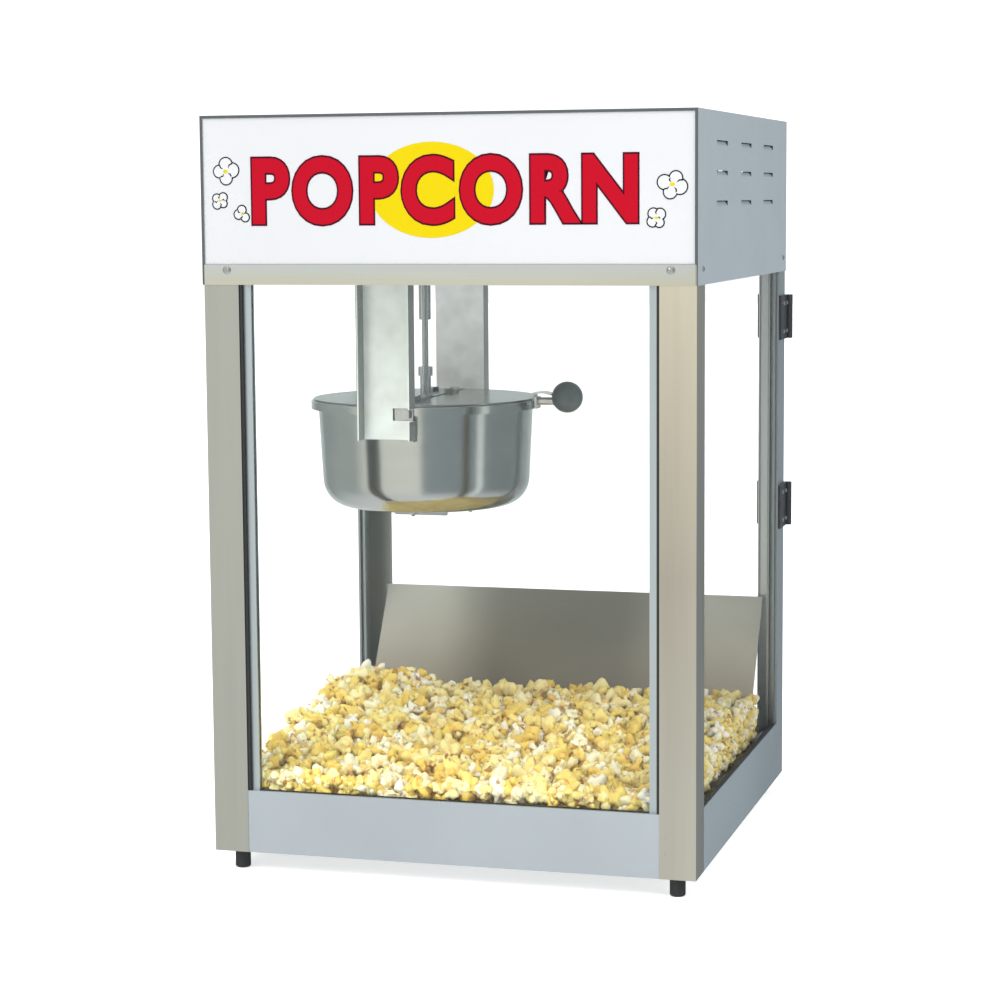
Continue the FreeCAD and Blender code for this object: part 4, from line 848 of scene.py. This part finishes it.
FINE_DIRECTIONS, FINE_FACES = ball_faces(3)
ROUGH_DIRECTIONS, ROUGH_FACES = ball_faces(2)
FINE_SHAPES = [popped_shape(seed, FINE_DIRECTIONS) for seed in range(KERNEL_SHAPES)]
ROUGH_SHAPES = [popped_shape(seed, ROUGH_DIRECTIONS) for seed in range(KERNEL_SHAPES)]


def fit_inside(points):
    """Shift a kernel's points clear of the glass, the glazing channels, the deck and the ramp."""
    xs = [point.x for point in points]
    ys = [point.y for point in points]
    front = CORNER_Y if max(map(abs, xs)) > CHANNEL_EDGE else GLASS_Y
    shift = Vector((
        max(0, -GLASS_X - min(xs)) + min(0, GLASS_X - max(xs)),
        max(0, front - min(ys)),
        max(0, HEAP_LOW.z - min(point.z for point in points)),
    ))
    moved = [point + shift for point in points]
    over = max(point.y - ramp_front(point.z) for point in moved)
    if over > 0:
        moved = [point - Vector((0, over, 0)) for point in moved]
    return moved


def make_kernels(name, spots, seed, shapes=FINE_SHAPES, faces=FINE_FACES):
    """One piece of many kernels; each has its own shape, turn, size and tone."""
    dice = random.Random(seed)
    all_points, all_faces, tones, creases = [], [], [], []
    for spot in spots:
        points, crease = dice.choice(shapes)
        turn = Euler([dice.uniform(0, math.tau) for _ in range(3)]).to_matrix()
        size = dice.uniform(*KERNEL_RADIUS)
        squeeze = Vector([size * dice.uniform(*KERNEL_SQUEEZE) for _ in range(3)])
        tone = min(1, max(0, dice.gauss(TONE_MEAN, TONE_SPREAD)))
        start = len(all_points)
        all_points += fit_inside([spot + turn @ (point * squeeze) for point in points])
        all_faces += [tuple(start + corner for corner in face) for face in faces]
        tones += [tone] * len(points)
        creases += crease
    mesh = bpy.data.meshes.new(name)
    mesh.from_pydata(all_points, [], all_faces)
    mesh.polygons.foreach_set("use_smooth", [True] * len(all_faces))
    for key, values in (("tone", tones), ("crease", creases)):
        mesh.attributes.new(key, "FLOAT", "POINT").data.foreach_set("value", values)
    mesh.materials.append(MATERIALS["popcorn"])
    piece = bpy.data.objects.new(name, mesh)
    bpy.context.collection.objects.link(piece)
    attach(piece, "cabinet")
    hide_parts("popcorn_heap")
    return piece


def top_spots(dice, pitch, depth, shift):
    """A jittered grid of places just under the heap's surface."""
    spots = []
    columns = int((HEAP_HIGH.x - HEAP_LOW.x) / pitch)
    rows = int((HEAP_HIGH.y - HEAP_LOW.y) / pitch)
    for column in range(columns):
        for row in range(rows):
            x = HEAP_LOW.x + (column + 0.5 + shift + dice.uniform(-GRID_STRAY, GRID_STRAY)) * pitch
            y = HEAP_LOW.y + (row + 0.5 + shift + dice.uniform(-GRID_STRAY, GRID_STRAY)) * pitch
            stray = dice.uniform(-LEVEL_STRAY, LEVEL_STRAY)
            spots.append(Vector((x, y, heap_top(x, y) - depth + stray)))
    return spots


def side_spots(dice, pitch):
    """Rows of places against the front and side panes, up to the heap's surface."""
    spots = []
    for level in FRONT_LEVELS:
        for step in range(int(2 * HEAP_HIGH.x / pitch)):
            x = HEAP_LOW.x + (step + dice.uniform(0.2, 0.8)) * pitch
            stray = dice.uniform(-LEVEL_STRAY, LEVEL_STRAY)
            spots.append(Vector((x, HEAP_LOW.y + PANE_INSET, level + stray)))
    for side in (-1, 1):
        for step in range(int((HEAP_HIGH.y - HEAP_LOW.y) / pitch)):
            x = side * (HEAP_HIGH.x - PANE_INSET)
            y = HEAP_LOW.y + (step + dice.uniform(0.2, 0.8)) * pitch
            level = SIDE_LEVEL
            while level < heap_top(x, y):
                spots.append(Vector((x, y, level + dice.uniform(-LEVEL_STRAY, LEVEL_STRAY))))
                level += SIDE_STEP
    return spots


def peak_spots(dice, number):
    """Loose kernels that lie on top of the rest."""
    spots = []
    for _ in range(number):
        x = dice.uniform(HEAP_LOW.x, HEAP_HIGH.x) * 0.94
        y = HEAP_LOW.y + (HEAP_HIGH.y - HEAP_LOW.y) * dice.uniform(0.04, 0.86)
        spots.append(Vector((x, y, heap_top(x, y) + dice.uniform(*LOOSE_RISE))))
    return spots


def make_heap_core():
    """The lumpy mass under the loose kernels, closed all round."""
    low = Vector((HEAP_LOW.x + CORE_INSET, HEAP_LOW.y + CORE_INSET, HEAP_LOW.z))
    columns = int((HEAP_HIGH.x - CORE_INSET - low.x) / CORE_STEP)
    rows = int((ramp_front(0.1) - CORE_INSET - low.y) / CORE_STEP)
    mesh = bmesh.new()
    grid, base = [], []
    for column in range(columns + 1):
        x = low.x + column * CORE_STEP
        tops, feet = [], []
        for row in range(rows + 1):
            y = low.y + row * CORE_STEP
            lump = noise.noise(Vector((x, y, 1.7)) * LUMP_SCALE) * LUMP_HEIGHT
            edge = min(column, columns - column, row, rows - row)
            drop = CORE_EDGE_DROP if edge == 0 else 0
            tops.append(mesh.verts.new((x, y, heap_top(x, y) - CORE_SINK + lump - drop)))
            feet.append(mesh.verts.new((x, y if row < rows else ramp_front(low.z) - 0.001, low.z)))
        grid.append(tops)
        base.append(feet)
    for column in range(columns):
        for row in range(rows):
            near, far = column, column + 1
            mesh.faces.new((grid[near][row], grid[far][row], grid[far][row + 1], grid[near][row + 1]))
            mesh.faces.new((base[near][row], base[near][row + 1], base[far][row + 1], base[far][row]))
    for column in range(columns):
        for row, flip in ((0, False), (rows, True)):
            loop = (grid[column][row], base[column][row], base[column + 1][row], grid[column + 1][row])
            mesh.faces.new(loop[::-1] if flip else loop)
    for row in range(rows):
        for column, flip in ((0, True), (columns, False)):
            loop = (grid[column][row], base[column][row], base[column][row + 1], grid[column][row + 1])
            mesh.faces.new(loop[::-1] if flip else loop)
    data = bpy.data.meshes.new("popcorn_core")
    mesh.to_mesh(data)
    mesh.free()
    data.polygons.foreach_set("use_smooth", [True] * len(data.polygons))
    data.materials.append(MATERIALS["core"])
    piece = bpy.data.objects.new("popcorn_core", data)
    bpy.context.collection.objects.link(piece)
    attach(piece, "cabinet")
    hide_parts("popcorn_heap")


def make_popcorn():
    """The core, two layers of kernels over it, kernels against the panes, and loose ones on top."""
    dice = random.Random(7)
    make_heap_core()
    upper = top_spots(dice, KERNEL_PITCH, UPPER_SINK, 0)
    lower = top_spots(dice, LOWER_PITCH, LOWER_SINK, 0.5)
    middle_y = sum(spot.y for spot in upper) / len(upper)
    make_kernels("popcorn_under", lower, 21, ROUGH_SHAPES, ROUGH_FACES)
    make_kernels("popcorn_front", [spot for spot in upper if spot.y < middle_y], 22)
    make_kernels("popcorn_back", [spot for spot in upper if spot.y >= middle_y], 23)
    make_kernels("popcorn_sides", side_spots(dice, SIDE_PITCH), 24)
    make_kernels("popcorn_loose", peak_spots(dice, LOOSE_KERNELS), 25)


make_popcorn()
